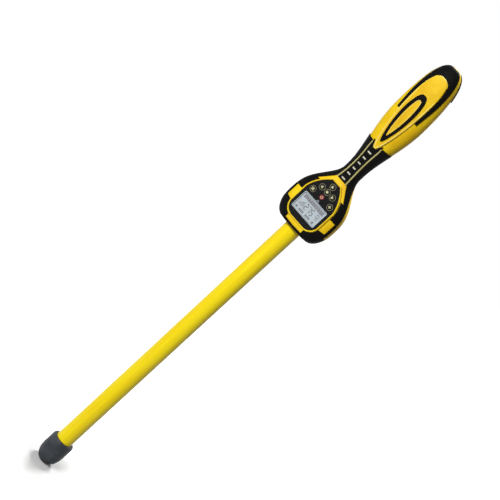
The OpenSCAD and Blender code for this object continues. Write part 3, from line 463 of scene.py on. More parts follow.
def lean_at(s):
    return LEAN * np.clip((s - BEND_FROM) / (BEND_TO - BEND_FROM), 0, 1)


def on_line(s, x, y):
    """A point beside the body's middle line, in metres."""
    s, x, y = np.broadcast_arrays(np.asarray(s, float), np.asarray(x, float), np.asarray(y, float))
    turn, past = lean_at(s), np.maximum(s - BEND_TO, 0)
    line_y = -BEND_R * (1 - np.cos(turn)) - past * math.sin(LEAN)
    line_z = HEAD_Z + np.where(s < BEND_FROM, s, BEND_FROM + BEND_R * np.sin(turn)) + past * math.cos(LEAN)
    return np.stack([x, line_y + y * np.cos(turn), line_z + y * np.sin(turn)], -1) * MM


def skin(s, u, lift=0.0):
    """A point of the body's skin at height s and angle u in degrees: 270 is the front, 90 the back."""
    s, u, lift = np.broadcast_arrays(np.asarray(s, float), np.asarray(u, float), np.asarray(lift, float))
    e = 2 / square_at(s)
    deep = np.where(u > 180, depth(s, HEAD_FRONT), depth(s, HEAD_BACK))
    c, w = np.cos(np.radians(u)), np.sin(np.radians(u))
    c, w = np.where(np.abs(c) < 1e-9, 0, c), np.where(np.abs(w) < 1e-9, 0, w)
    return on_line(s, (half_w(s) + lift) * power(c, e), (deep + lift) * power(w, e))


def angle_at(s, x, front=True):
    """The angle at which the skin has width x at height s."""
    turn = np.degrees(np.arccos(np.clip(power(x / half_w(s), square_at(s) / 2), -1, 1)))
    return 360 - turn if front else turn


print("widest of the head and grip, mm:", float(half_w(36.0)) * 2, float(half_w(233.0)) * 2)

# %% [markdown]
# ## Meshes from grids
# Most pieces here are thin sheets on the skin: pads, bumpers, the petal, the
# shells themselves. Each one is a grid of points for its outer face and one
# for its inner face, with walls where the grid ends. A bevel then rounds the
# rims. Bevel and boolean are used as modifiers and turned into plain mesh.

# %% Mesh helpers
scene_objects = bpy.context.scene.collection.objects
MERGE = 1e-7


def mesh_object(name, points, faces, edges=()):
    mesh = bpy.data.meshes.new(name)
    mesh.from_pydata([tuple(p) for p in np.asarray(points, float).reshape(-1, 3)], list(edges), faces)
    thing = bpy.data.objects.new(name, mesh)
    scene_objects.link(thing)
    return thing


def clean(thing):
    """Joins doubled points, drops empty faces and turns the faces outwards."""
    work = bmesh.new()
    work.from_mesh(thing.data)
    bmesh.ops.remove_doubles(work, verts=work.verts, dist=MERGE)
    bmesh.ops.dissolve_degenerate(work, edges=work.edges, dist=MERGE)
    bmesh.ops.recalc_face_normals(work, faces=work.faces)
    work.to_mesh(thing.data)
    work.free()
    return thing


def bake(thing):
    """Turns the result of the modifiers into a plain mesh."""
    graph = bpy.context.evaluated_depsgraph_get()
    mesh = bpy.data.meshes.new_from_object(thing.evaluated_get(graph))
    thing.modifiers.clear()
    thing.data = mesh
    return thing


def rounded(thing, width, segments=3, angle=40):
    """Rounds every edge sharper than the angle, by a width in millimetres."""
    bevel = thing.modifiers.new("round", "BEVEL")
    bevel.width, bevel.segments = width * MM, segments
    bevel.limit_method, bevel.angle_limit = "ANGLE", math.radians(angle)
    bevel.use_clamp_overlap = True
    return bake(thing)


def cut(thing, *cutters):
    """Cuts other meshes out of a mesh, and removes them."""
    for cutter in cutters:
        tool = thing.modifiers.new("cut", "BOOLEAN")
        tool.operation, tool.solver, tool.object = "DIFFERENCE", "EXACT", cutter
        bake(thing)
        bpy.data.objects.remove(cutter)
    return thing


def finish_piece(thing, finish, body, replaces=(), sharp=32):
    """Gives a finished mesh its material and shading, and says what it rides on and stands for."""
    mesh = thing.data
    mesh.materials.clear()
    mesh.materials.append(finishes[finish])
    mesh.shade_smooth()
    mesh.set_sharp_from_angle(angle=math.radians(sharp))
    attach(thing, body)
    if replaces:
        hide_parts(*([replaces] if isinstance(replaces, str) else replaces))
    print(f"{thing.name}: {len(mesh.polygons)} faces on {body}")
    return thing


def sheet(name, outer, inner, keep=None):
    """A closed sheet between two grids of points. keep says which of its cells are there."""
    outer, inner = np.asarray(outer, float), np.asarray(inner, float)
    rows, cols = outer.shape[:2]
    keep = np.ones((rows - 1, cols - 1), bool) if keep is None else keep
    n = rows * cols
    faces = []

    def there(i, j):
        return 0 <= i < rows - 1 and 0 <= j < cols - 1 and keep[i, j]

    for i in range(rows - 1):
        for j in range(cols - 1):
            if not keep[i, j]:
                continue
            a, b, d, c = (r * cols + k for r in (i, i + 1) for k in (j, j + 1))
            faces += [(a, b, c, d), (d + n, c + n, b + n, a + n)]
            for gone, p, q in ((not there(i - 1, j), a, b), (not there(i + 1, j), c, d),
                               (not there(i, j - 1), d, a), (not there(i, j + 1), b, c)):
                if gone:
                    faces.append((q, p, p + n, q + n))
    return clean(mesh_object(name, np.concatenate([outer.reshape(-1, 3), inner.reshape(-1, 3)]), faces))


def ring_faces(rows, cols, close=False):
    """Faces of a stack of closed rings; close also joins the last ring to the first."""
    return [(i * cols + j, i * cols + (j + 1) % cols, (i + 1) % rows * cols + (j + 1) % cols,
             (i + 1) % rows * cols + j) for i in range(rows if close else rows - 1) for j in range(cols)]


def closed_sweep(name, rings):
    """A tube-like piece that closes on itself in both directions."""
    grid = np.array(rings, float)
    return clean(mesh_object(name, grid, ring_faces(*grid.shape[:2], True)))


def outline_sweep(name, section, outline):
    """Carries a section of (growth, depth) round an outline of the face that grows with it."""
    loops = [outline(grow_by) for grow_by, _ in section]
    return closed_sweep(name, [[(x * MM, y * MM, (HEAD_Z + z) * MM) for (x, z), (_, y) in zip(spots, section)]
                               for spots in zip(*loops)])


def lathe(name, profile, centre=(0, 0, 0), axis="Z", steps=96, lean=0.0):
    """Turns a profile of (radius, height) in millimetres about an axis, which may lean back."""
    turn = np.linspace(0, 2 * np.pi, steps, endpoint=False)
    grid = np.array([[(r * math.cos(t), r * math.sin(t), h) for t in turn] for r, h in profile]) * MM
    if axis == "-Y":
        grid = np.stack([grid[..., 0], -grid[..., 2], grid[..., 1]], -1)
    elif axis == "X":
        grid = np.stack([grid[..., 2], grid[..., 0], grid[..., 1]], -1)
    c, w = math.cos(lean), math.sin(lean)
    grid = grid @ np.array([[1, 0, 0], [0, c, w], [0, -w, c]]) + np.asarray(centre, float)
    return clean(mesh_object(name, grid, ring_faces(len(profile), steps)))


def prism(name, outline, low, high):
    """A flat outline of (x, height) in millimetres, drawn out between two depths y."""
    n = len(outline)
    points = [(x * MM, y * MM, (HEAD_Z + z) * MM) for y in (low, high) for x, z in outline]
    faces = [tuple(range(n)), tuple(range(2 * n - 1, n - 1, -1))]
    faces += [(i, n + i, n + (i + 1) % n, (i + 1) % n) for i in range(n)]
    return clean(mesh_object(name, points, faces))


def joined(name, things):
    """Puts several meshes into one object."""
    points, faces = [], []
    for thing in things:
        start = len(points)
        points += [tuple(v.co) for v in thing.data.vertices]
        faces += [tuple(start + i for i in p.vertices) for p in thing.data.polygons]
        bpy.data.objects.remove(thing)
    return mesh_object(name, points, faces)


print("mesh helpers ready")

# %% [markdown]
# ## Geometry Nodes for what follows a rule
# The tube is one cross-section carried round a circle, the screws are one
# shape at seven places, and the ladder's rungs are one round bar along six
# short paths. A node tree says such a rule once, with its sizes as named
# inputs. The result is turned into a plain mesh before it joins the frame.

# %% Helpers for node trees


def rule_tree(name, inputs):
    """A geometry node tree with named inputs: returns it with its ends and the inputs' identifiers."""
    tree = bpy.data.node_groups.new(name, "GeometryNodeTree")
    tree.interface.new_socket("Geometry", in_out="OUTPUT", socket_type="NodeSocketGeometry")
    names = {}
    for label, kind, value in inputs:
        socket = tree.interface.new_socket(label, in_out="INPUT", socket_type="NodeSocket" + kind)
        if value is not None:
            socket.default_value = value
        names[label] = socket.identifier
    start, end = tree.nodes.new("NodeGroupInput"), tree.nodes.new("NodeGroupOutput")
    return tree, start, end, names


def tree_node(tree, kind, links=(), **settings):
    node = tree.nodes.new(kind if kind.startswith("Function") else "GeometryNode" + kind)
    for key, value in settings.items():
        setattr(node, key, value)
    for source, target in links:
        tree.links.new(source, node.inputs[target])
    return node


def end_tree(tree, geometry, end, finish):
    """Every rule ends the same way: real geometry, with its finish."""
    real = tree_node(tree, "RealizeInstances", [(geometry, 0)])
    dress = tree_node(tree, "SetMaterial", [(real.outputs[0], "Geometry")])
    dress.inputs["Material"].default_value = finishes[finish]
    tree.links.new(dress.outputs[0], end.inputs[0])


def grow(name, tree, names, values, seed=None):
    """Runs a tree on an object, with its inputs set by identifier, and keeps the plain mesh."""
    thing = seed or mesh_object(name, np.zeros((0, 3)), [])
    rule = thing.modifiers.new("rule", "NODES")
    rule.node_group = tree
    for label, value in values.items():
        rule[names[label]] = value
    return clean(bake(thing))


# %% [markdown]
# ## The wand tube
# A 28.6 mm tube with a 2 mm wall runs from inside the boot into the head. Its
# wall is a long thin rectangle, carried once round a circle. The tube is bare:
# smooth paint, with only the faint streaks that pulling leaves along it.

# %% Build the tube
TUBE_R, TUBE_WALL, TUBE_LOW, TUBE_LEN = 14.3, 2.0, -753.0, 567.0


def tube_rule():
    tree, start, end, names = rule_tree("tube_rule", [
        ("Middle radius", "Float", 0.0133), ("Wall", "Float", 0.002),
        ("Length", "Float", 0.5), ("Middle", "Vector", (0, 0, 0))])
    path = tree_node(tree, "CurvePrimitiveCircle", [(start.outputs["Middle radius"], "Radius")])
    path.inputs["Resolution"].default_value = 128
    wall = tree_node(tree, "CurvePrimitiveQuadrilateral", [
        (start.outputs["Wall"], "Width"), (start.outputs["Length"], "Height")])
    sweep = tree_node(tree, "CurveToMesh", [(path.outputs[0], "Curve"), (wall.outputs[0], "Profile Curve")])
    lift = tree_node(tree, "Transform", [
        (sweep.outputs[0], "Geometry"), (start.outputs["Middle"], "Translation")])
    end_tree(tree, lift.outputs[0], end, "tube_paint")
    return tree, names


tube = grow("tube_skin", *tube_rule(), {
    "Middle radius": (TUBE_R - TUBE_WALL / 2) * MM, "Wall": TUBE_WALL * MM,
    "Length": TUBE_LEN * MM, "Middle": (0, 0, (TUBE_LOW + TUBE_LEN / 2) * MM)})
finish_piece(tube, "tube_paint", "wand", "wand_tube")
print("tube size, mm:", [round(v / MM, 2) for v in tube.dimensions])

# %% [markdown]
# ## The rubber boot
# The boot is turned about the tube's line: a rounded nose with a small flat
# where it stands, straight sides, and a soft lip round the tube. A lathe
# profile is the natural way, because the mould for it is turned too.

# %% Build the boot
TIP_Z = -760.0
BOOT_R, BOOT_LEN, BOOT_DOME, BOOT_FLAT, BOOT_LIP, BOOT_FLOOR = 19.8, 47.0, 24.0, 7.0, 4.0, 7.0


def boot_profile():
    nose = [(BOOT_FLAT + (BOOT_R - BOOT_FLAT) * math.sin(g), BOOT_DOME * (1 - math.cos(g)))
            for g in np.linspace(0, math.pi / 2, 33)]
    side = [(BOOT_R, h) for h in np.linspace(BOOT_DOME, BOOT_LEN - BOOT_LIP, 9)[1:-1]]
    lip = [(BOOT_R - BOOT_LIP + BOOT_LIP * math.cos(g), BOOT_LEN - BOOT_LIP + BOOT_LIP * math.sin(g))
           for g in np.linspace(0, math.pi / 2, 13)]
    bore = TUBE_R + 0.05
    return [(0, 0), (BOOT_FLAT * 0.5, 0)] + nose + side + lip + [
        (bore + 0.5, BOOT_LEN), (bore, BOOT_LEN - 0.5), (bore, BOOT_FLOOR), (0, BOOT_FLOOR)]


boot = lathe("boot_skin", boot_profile(), (0, 0, TIP_Z * MM), steps=128)
finish_piece(boot, "boot_rubber", "wand", "tip_boot", sharp=50)

# %% [markdown]
# ## The two shells
# Head, neck and grip are closed by a front and a rear shell with a 2.5 mm
# wall, which meet at the sides. Each shell is one grid of points: a flat foot
# round the tube's hole, rings up the body, and one point where the grip ends.
# The face's opening, the sounder's slots and the screw holes are cut out with
# booleans, because they don't follow the grid. The door's opening does follow
# it, so those cells are simply left out.

# %% Rings and columns of the shells
OPEN_LOW, OPEN_HIGH, OPEN_HALF = 185.3, 302.3, 16.8
TUBE_HOLE_R, PARTING, CUT_FAR = 16.3, 0.12, 40.0
TOP_RING = GRIP_MID + (GRIP_END - GRIP_MID) * 0.999
heights = np.concatenate([
    HEAD_CORNER * (1 - np.cos(np.linspace(0, math.pi / 2, 22)[:-1])),
    np.linspace(HEAD_CORNER, OPEN_LOW, 70)[:-1], np.linspace(OPEN_LOW, OPEN_HIGH, 56)[:-1],
    OPEN_HIGH + (TOP_RING - OPEN_HIGH) * np.sin(np.linspace(0, math.pi / 2, 26))])


def shell_grids(angles):
    """Outer and inner points of half the housing; angles holds one row of angles per height."""
    squeeze = (TOP_RING - 2 * WALL) / TOP_RING
    s = heights[:, None]
    outer, inner = skin(s, angles, -0.05), skin(WALL + s * squeeze, angles, -WALL)
    round_hole = np.stack([np.cos(np.radians(angles[0])) * TUBE_HOLE_R,
                           np.sin(np.radians(angles[0])) * TUBE_HOLE_R,
                           np.full(angles.shape[1], HEAD_Z)], -1) * MM
    foot = [round_hole + (outer[0] - round_hole) * t for t in np.linspace(0, 1, 6)[:-1]]
    floor = [p + (0, 0, WALL * MM) for p in foot]
    pole_out = np.broadcast_to(on_line(TOP_RING, 0, 0), (1, *outer.shape[1:]))
    pole_in = np.broadcast_to(on_line(WALL + TOP_RING * squeeze, 0, 0), (1, *outer.shape[1:]))
    return np.concatenate([foot, outer, pole_out]), np.concatenate([floor, inner, pole_in])


def spans(*edges):
    """Values between edges. Each edge is one number, or one per row, with a count of steps to the next."""
    marks = [(np.asarray(edge, float)[..., None], count) for edge, count in edges]
    parts = []
    for (a, count), (b, _) in zip(marks, marks[1:]):
        t = np.linspace(0, 1, count + 1)[:-1]
        parts.append(a * (1 - t) + b * t)
    return np.concatenate(parts + [marks[-1][0]], -1)


front_angles = np.broadcast_to(np.linspace(180 + PARTING, 360 - PARTING, 73), (len(heights), 73))
door_edge = np.minimum(OPEN_HALF, 0.8 * half_w(heights))
side_a = angle_at(heights, door_edge, False)
rear_angles = spans((np.full_like(heights, PARTING), 18), (side_a, 24), (180 - side_a, 18),
                    (np.full_like(heights, 180 - PARTING), 0))
print("rings:", len(heights), "columns:", front_angles.shape[1], rear_angles.shape[1])

# %% The face's bell outline
PANEL_W, PANEL_LOW, PANEL_HIGH, PANEL_TOP_W = 57.0, 13.0, 91.0, 16.0
PANEL_CORNER, PANEL_SHOULDER, BOW_SHARE, BOW_HIGH = 16.0, 57.0, 0.87, 76.0


def bell_side(grow_by, corner=20, bow=28):
    """The right half of the face's outline, from bottom to top, grown outwards."""
    a, c, e = (np.array(p) for p in ((PANEL_W / 2, PANEL_SHOULDER), (PANEL_W / 2 * BOW_SHARE, BOW_HIGH),
                                     (PANEL_TOP_W / 2, PANEL_HIGH)))
    out = []
    for g in np.radians(np.linspace(-90, 0, corner + 1)):
        r = PANEL_CORNER + grow_by
        out.append((PANEL_W / 2 - PANEL_CORNER + r * math.cos(g), PANEL_LOW + PANEL_CORNER + r * math.sin(g)))
    for t in np.linspace(0, 1, bow + 1):
        d = (1 - t) * (c - a) + t * (e - c)
        p = (1 - t) ** 2 * a + 2 * t * (1 - t) * c + t * t * e
        out.append(tuple(p + grow_by * np.array([d[1], -d[0]]) / np.linalg.norm(d)))
    out.append((PANEL_TOP_W / 2 + min(grow_by, 0), PANEL_HIGH + grow_by))
    return out


def bell(grow_by):
    right = bell_side(grow_by)
    return right + [(-x, z) for x, z in reversed(right)]


def bell_x(s, grow_by=2.7):
    """Half the width of the face at a height."""
    right = np.array(bell_side(grow_by))
    return np.interp(s, right[:, 1], right[:, 0])


print("face outline points:", len(bell(0)))

# %% Front shell
FACE_GROW, FACE_CUT = 2.5, -12.6
front = sheet("front_shell_skin", *shell_grids(front_angles))
cut(front, prism("face_cutter", bell(FACE_GROW), -CUT_FAR, FACE_CUT))
finish_piece(front, "shell_yellow", "wand", "front_shell")

# %% Rear shell with the door's opening, slots and screw cups
SCREW_SPOTS = [(-36, 30), (36, 30), (-24.8, 81), (24.8, 81), (0, 168)]
SCREW_HEAD_R, SCREW_SINK, CUP_R, CUP_FLOOR, CUP_SHY = 2.8, 5.0, 3.6, 1.5, 0.4
SLOT_MID, SLOT_PITCH, EAR_FROM, EAR_TO = 68, 3.2, 8.8, 19.0
DOOR_COLUMNS = slice(18, 42)
TUBE_SCREWS = [24.0, 34.0]
TUBE_SCREW_SEAT = TUBE_R + 2.2


def back_y(s, x):
    n = square_at(s)
    return depth(s, HEAD_BACK) * (1 - (np.abs(x) / half_w(s)) ** n) ** (1 / n)


def bar(name, x, s, y_from, y_to, profile):
    """A turned piece along the housing's depth: the profile holds (radius, share of the way)."""
    turned = [(r, -y_from - (y_to - y_from) * share) for r, share in profile]
    return lathe(name, turned, on_line(s, x, 0.0), "-Y", 40, float(lean_at(s)))


def slot_cutter(s, half=6.0, tall=0.75):
    ends = [(half - tall + tall * math.cos(g), s + tall * math.sin(g))
            for g in np.linspace(-math.pi / 2, math.pi / 2, 9)]
    return prism("slot_cutter", ends + [(-x, 2 * s - z) for x, z in ends], 10, CUT_FAR)


seats = [(x, s, float(back_y(s, x)) - SCREW_SINK) for x, s in SCREW_SPOTS]
seats += [(0, s, TUBE_SCREW_SEAT) for s in TUBE_SCREWS]
hole_r = SCREW_HEAD_R + 0.1
outer, inner = shell_grids(rear_angles)
keep = np.ones((outer.shape[0] - 1, outer.shape[1] - 1), bool)
extra = outer.shape[0] - len(heights) - 1
open_rows = np.where((heights[:-1] > OPEN_LOW - 0.01) & (heights[:-1] < OPEN_HIGH - 0.01))[0] + extra
keep[open_rows[0]:open_rows[-1] + 1, DOOR_COLUMNS] = False
rear = sheet("rear_shell_skin", outer, inner, keep)
hole = [(r * hole_r, share) for r, share in ((0, 0), (1, 0), (1, 1), (0, 1))]
cut(rear, *[bar("hole", x, s, seat - 1, CUT_FAR, hole) for x, s, seat in seats])
cut(rear, *[slot_cutter(SLOT_MID + SLOT_PITCH * i) for i in range(-2, 3)])
cups = []
for x, s, seat in seats:
    reach = float(back_y(s, abs(x) + CUP_R)) - CUP_SHY
    sunk = CUP_FLOOR / (reach - seat + CUP_FLOOR)
    cups.append(bar("cup", x, s, seat - CUP_FLOOR, reach, [
        (0, 0), (CUP_R, 0), (CUP_R, 1), (hole_r, 1), (hole_r, sunk), (0, sunk)]))
HINGE_S, HINGE_R, HINGE_HALF = 190.0, 2.6, 8.5
HINGE_Y = float(back_y(HINGE_S, 12.0)) - HINGE_R
ears = []
for side in (-1, 1):
    a, b = side * EAR_FROM, side * EAR_TO
    ear = [(0, a), (HINGE_R - 0.4, a), (HINGE_R, a + side * 0.4), (HINGE_R, b), (0, b)]
    ears.append(lathe("ear", ear, on_line(HINGE_S, 0, HINGE_Y), "X", 40))
rear = joined("rear_shell_skin", [rear] + cups + ears)
finish_piece(rear, "shell_yellow", "wand", "rear_shell")

# %% [markdown]
# ## The face
# The face is a satin black panel in a thin raised yellow ring. The panel
# itself is flat and exact in the solids, so it keeps its shape and only gets a
# finish. The ring is rounded over its top, so it is rebuilt: a small
# cross-section follows the bell outline all the way round and closes on itself.

# %% The yellow ring round the face
RING_SECTION = [(2.4, -14.7), (2.4, -19.3), (2.3, -19.8), (2.0, -20.2), (1.6, -20.38), (1.2, -20.4),
                (0.8, -20.3), (0.4, -20.05), (0.15, -19.7), (0.1, -19.2), (0.1, -16.7), (0.8, -14.7)]
ring = outline_sweep("face_ring", RING_SECTION, bell)
finish_piece(ring, "shell_yellow", "wand", "face_bezel", sharp=50)

# %% [markdown]
# ## What the display shows
# Under the window lies the pale display. It shows a dark bar along its top, a
# row of large digits, and a row of small marks below. Each mark is a very thin
# flat piece on the glass, so it stays in place from every side. The digits are
# plain seven-segment numbers.

# %% Marks on the display
GLASS_Y = -float(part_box("display_glass")[0].y) / MM
MARK_FRONT, MARK_BACK = -GLASS_Y - 0.06, -GLASS_Y + 0.02
SEGMENTS = {"2": "abged", "4": "fgbc", "5": "afgcd", "7": "abc"}


def box_points(x0, x1, z0, z1):
    return [(x0, z0), (x1, z0), (x1, z1), (x0, z1)]


def segment_bar(x0, z0, x1, z1, t):
    """A bar with pointed ends, lying or standing."""
    h = t / 2
    if abs(x1 - x0) > abs(z1 - z0):
        return [(x0, z0), (x0 + h, z0 - h), (x1 - h, z0 - h), (x1, z0), (x1 - h, z0 + h), (x0 + h, z0 + h)]
    return [(x0, z0), (x0 + h, z0 + h), (x0 + h, z1 - h), (x0, z1), (x0 - h, z1 - h), (x0 - h, z0 + h)]


def digit(number, x, z, w, h, t):
    """Outlines of one number's segments: a, g and d lie, f, b, e and c stand."""
    g = t * 0.12
    m = z + h / 2
    bars = {k: (x + g, level, x + w - g, level) for k, level in (("a", z + h), ("g", m), ("d", z))}
    bars.update({k: (at, low + g, at, low + h / 2 - g)
                 for k, at, low in (("f", x, m), ("b", x + w, m), ("e", x, z), ("c", x + w, z))})
    return [segment_bar(*bars[k], t) for k in SEGMENTS[number]]


def flat_marks(name, outlines, finish, front=MARK_FRONT, back=MARK_BACK, body="wand"):
    thing = joined(name, [prism("mark", o, front, back) for o in outlines])
    return finish_piece(thing, finish, body)


def disc_points(x, z, r, steps=20):
    turns = np.linspace(0, 2 * math.pi, steps, endpoint=False)
    return [(x + r * math.cos(a), z + r * math.sin(a)) for a in turns]


big = []
for number, x in (("2", -8.2), ("7", -2.0), ("5", 4.2)):
    big += digit(number, x, 31.6, 4.3, 9.4, 1.5)
small = digit("4", 14.6, 32.6, 3.4, 6.2, 1.05) + [box_points(14.2, 18.6, 40.4, 41.6)]
bars = [box_points(-19.6 + 2.5 * i, -17.9 + 2.5 * i, 31.4, 34.4 + 2.2 * i) for i in range(4)]
low_marks = [box_points(-19.4, -15.6, 25.4, 28.6), disc_points(17.0, 27.0, 1.9)]
low_marks += [box_points(x, x + 2.7, 25.4, 28.6) for x in (-12.2, -8.9, -5.6, 1.2, 4.5, 7.8)]
flat_marks("display_digits", big + small + low_marks, "ink")
flat_marks("display_bars", bars, "strip_ink")
flat_marks("display_bar", [box_points(-20.4, 20.4, 43.6, 49.8)], "strip_ink")
cells = [box_points(-19 + 4 * i, -19 + 4 * i + 2.4, 44.8, 48.6) for i in range(10)]
flat_marks("display_bar_cells", cells, "ink", MARK_FRONT - 0.05)

# %% [markdown]
# ## Printed lines on the panel
# A pale line frames the window, and a small pointer under the power key leads
# to it. Both are thin raised print on the panel, like screen printing.

# %% Print on the panel
PANEL_FRONT = -19.6
PRINT_BACK, PRINT_FRONT = PANEL_FRONT + 0.02, PANEL_FRONT - 0.12
WINDOW_HALF_W, WINDOW_HALF_H, WINDOW_MID, WINDOW_R, LINE_W = 22.85, 14.1, 37.5, 1.2, 0.9


def print_band(first, last):
    """The section of a printed line between two growths of its outline."""
    return [(first, PRINT_BACK), (first, PRINT_FRONT), (last, PRINT_FRONT), (last, PRINT_BACK)]


def window_outline(grow_by):
    """A rectangle with rounded corners round the window."""
    r = WINDOW_R + grow_by
    return [(cx * (WINDOW_HALF_W - WINDOW_R) + r * math.cos(a),
             WINDOW_MID + cz * (WINDOW_HALF_H - WINDOW_R) + r * math.sin(a))
            for cx, cz, start in ((1, -1, -90), (1, 1, 0), (-1, 1, 90), (-1, -1, 180))
            for a in np.radians(np.linspace(start, start + 90, 7))]


window_line = outline_sweep("window_line", print_band(0, LINE_W), window_outline)
finish_piece(window_line, "display_grey", "wand")
flat_marks("power_pointer", [[(-3.2, 53.4), (3.2, 53.4), (0, 57.2)]], "strip_ink", PRINT_FRONT, PRINT_BACK)

# %% [markdown]
# ## The keys
# Seven round silicone keys stand a little proud of the panel, each with a soft
# domed top and a pale mark. A key is turned like the boot, and its mark is a
# thin piece that rides with the key, so both go down together when pressed.

# %% Keys and their marks
KEYS = {"power_key": (0, 62.5), "top_key": (0, 84.1), "mid_left_key": (-11.2, 73.3),
        "centre_key": (0, 73.3), "mid_right_key": (11.2, 73.3), "low_left_key": (-18.7, 61.5),
        "low_right_key": (18.7, 61.5)}
KEY_R, KEY_TOP, KEY_ROUND, FLANGE_FRONT, FLANGE_BACK, FLANGE_R = 3.7, 21.2, 0.9, 17.5, 16.7, 4.4
STEM_END, STEM_R, RING_IN, RING_OUT = 14.1, 1.6, 4.35, 4.95


def key_profile():
    flat = KEY_R - KEY_ROUND
    dome = [(flat + KEY_ROUND * math.cos(a), KEY_TOP - 1.2 + KEY_ROUND * math.sin(a))
            for a in np.linspace(0, math.pi / 2, 9)]
    crown = [(flat * t, KEY_TOP - 0.3 + 0.3 * (1 - t * t)) for t in (0.8, 0.6, 0.4, 0.2, 0)]
    return [(0, STEM_END), (STEM_R, STEM_END), (STEM_R, FLANGE_BACK), (FLANGE_R, FLANGE_BACK),
            (FLANGE_R, FLANGE_FRONT), (KEY_R, FLANGE_FRONT)] + dome + crown


def arrow(x, z, turn, size=2.3):
    base = [(0, size), (size, -size * 0.7), (-size, -size * 0.7)]
    a = math.radians(turn)
    return [(x + p * math.cos(a) - q * math.sin(a), z + p * math.sin(a) + q * math.cos(a)) for p, q in base]


def power_sign(x, z, r=1.9, r_in=1.35, gap=32):
    """An open ring with a short stroke in its gap."""
    turns = np.radians(np.linspace(90 + gap, 450 - gap, 25))
    ring = [(x + q * math.cos(a), z - 0.2 + q * math.sin(a))
            for q, way in ((r, 1), (r_in, -1)) for a in turns[::way]]
    return [ring, box_points(x - 0.3, x + 0.3, z + 0.2, z + 2.1)]


def bars_sign(x, z, w=4.4, t=0.95, step=1.6):
    return [box_points(x - w / 2, x + w / 2, z + i * step - t / 2, z + i * step + t / 2) for i in (-1, 0, 1)]


def plus_sign(x, z, long=2.4, half=0.5):
    return [box_points(x - long, x + long, z - half, z + half)] + [
        box_points(x - half, x + half, *sorted((z + side * 0.6, z + side * long))) for side in (1, -1)]


KEY_MARKS = {
    "power_key": power_sign, "low_left_key": bars_sign, "low_right_key": plus_sign,
    "centre_key": lambda x, z: [disc_points(x, z, 1.9)], "top_key": lambda x, z: [arrow(x, z, 0)],
    "mid_left_key": lambda x, z: [arrow(x, z, 90)], "mid_right_key": lambda x, z: [arrow(x, z, -90)]}
print_rings = []
for name, (x, z) in KEYS.items():
    cap = lathe(name + "_cap", key_profile(), (x * MM, 0, (HEAD_Z + z) * MM), "-Y", 56)
    finish_piece(cap, "key_red" if name == "power_key" else "key_black", name, name, sharp=50)
    flat_marks(name + "_mark", KEY_MARKS[name](x, z), "icon_pale", -KEY_TOP - 0.02, -KEY_TOP + 0.45, name)
    if name != "power_key":
        print_rings.append(outline_sweep("print_ring", print_band(RING_IN, RING_OUT),
                                         lambda r: disc_points(x, z, r, 48)))
rings = joined("key_rings", print_rings)
finish_piece(rings, "icon_olive", "wand")
print("keys:", len(KEYS))

# %% [markdown]
# ## Bumpers on the head
# Four black rubber bumpers wrap the head's sides and leave yellow windows at
# the sides and the foot. Each one is a sheet on the skin whose inner edge
# follows the yellow ring. Stepping that edge outwards makes the windows, with
# small slopes where the rubber starts and stops. Near the foot the bumpers turn
# further round the side.

# %% Bumpers
SIDE_ANGLE, BUMPER_ANGLE, SKIN_GAP, PAD_T, SEAM = 4.0, 20.0, 0.35, 1.4, 0.3
WRAP_ANGLE, WRAP_FROM, WRAP_TO = 5.5, 20.5, 25.0
FOOT_HALF, FOOT_LINE, PATCH_X, PATCH_HIGH, YOKE_LOW = 16.5, 4.4, 41.0, 50.0, 78.0
STEP_FROM, STEP_TO = 27.0, 29.0


def spot_sheet(name, s, u, low=SKIN_GAP, high=PAD_T, rim=0.45):
    """A pad on the skin from a grid of heights and angles, with a rounded rim."""
    return rounded(sheet(name, skin(s, u, high), skin(s, u, low)), rim)


def rubber_pad(name, node, s, u):
    finish_piece(spot_sheet(name, s, u), "grip_rubber", "wand", node, sharp=50)


def mirrored(u):
    return 540 - u


def pad_pair(name, node, rows, u):
    """The same rubber pad on the left and on the right."""
    for label, spots in (("left", u), ("right", mirrored(u))):
        rubber_pad(name.format(label), node.format(label), rows[:, None] + 0 * u, spots)


low_rows = np.concatenate([np.linspace(0.8, FOOT_LINE, 6), np.linspace(5, STEP_FROM, 26),
                           np.linspace(STEP_FROM + 0.2, STEP_TO, 8), np.linspace(29.4, 49.7, 18)])
slope = np.clip((low_rows - STEP_FROM) / (STEP_TO - STEP_FROM), 0, 1)
step_x = bell_x(STEP_FROM)
low_in = np.where(low_rows > STEP_FROM, step_x + (PATCH_X - step_x) * slope,
                  np.maximum(FOOT_HALF, bell_x(low_rows)))
low_in[low_rows <= FOOT_LINE] = SEAM
high_rows = np.linspace(PATCH_HIGH, YOKE_LOW, 30)
for part, rows, edge in (("lower", low_rows, low_in), ("upper", high_rows, bell_x(high_rows))):
    side = 180 + ease(WRAP_ANGLE, BUMPER_ANGLE, (rows - WRAP_FROM) / (WRAP_TO - WRAP_FROM))
    pad_pair(part + "_{}_bumper_skin", part + "_{}_bumper", rows,
             spans((side, 20), (angle_at(rows, -edge), 0)))

# %% [markdown]
# ## The neck
# A black ladder runs up the neck's front between two pale lines, with black
# rubber outside them. The lines lie in the gaps between the sheets. The
# ladder's top opens into two points round the petal's tip, so its rows stretch
# to a top edge that differs from column to column.

# %% The petal's outline, which the ladder and the horseshoe follow
PETAL_LOW, PETAL_HIGH, PETAL_W, PETAL_TIP_W = 170.0, 306.0, 32.0, 4.0
PETAL_MID, PETAL_TOP, PETAL_TAIL = 0.68, 2.4, 0.7


def petal_half(s):
    t = np.clip((np.asarray(s, float) - PETAL_LOW) / (PETAL_HIGH - PETAL_LOW), 0, 1)
    past = np.clip((t - PETAL_MID) / (1 - PETAL_MID), 0, 1)
    tail = np.sin(np.pi / 2 * np.minimum(t / PETAL_MID, 1)) ** PETAL_TAIL
    top = (1 - past ** PETAL_TOP) ** (1 / PETAL_TOP)
    return PETAL_TIP_W / 2 + (PETAL_W - PETAL_TIP_W) / 2 * np.where(t < PETAL_MID, tail, top)


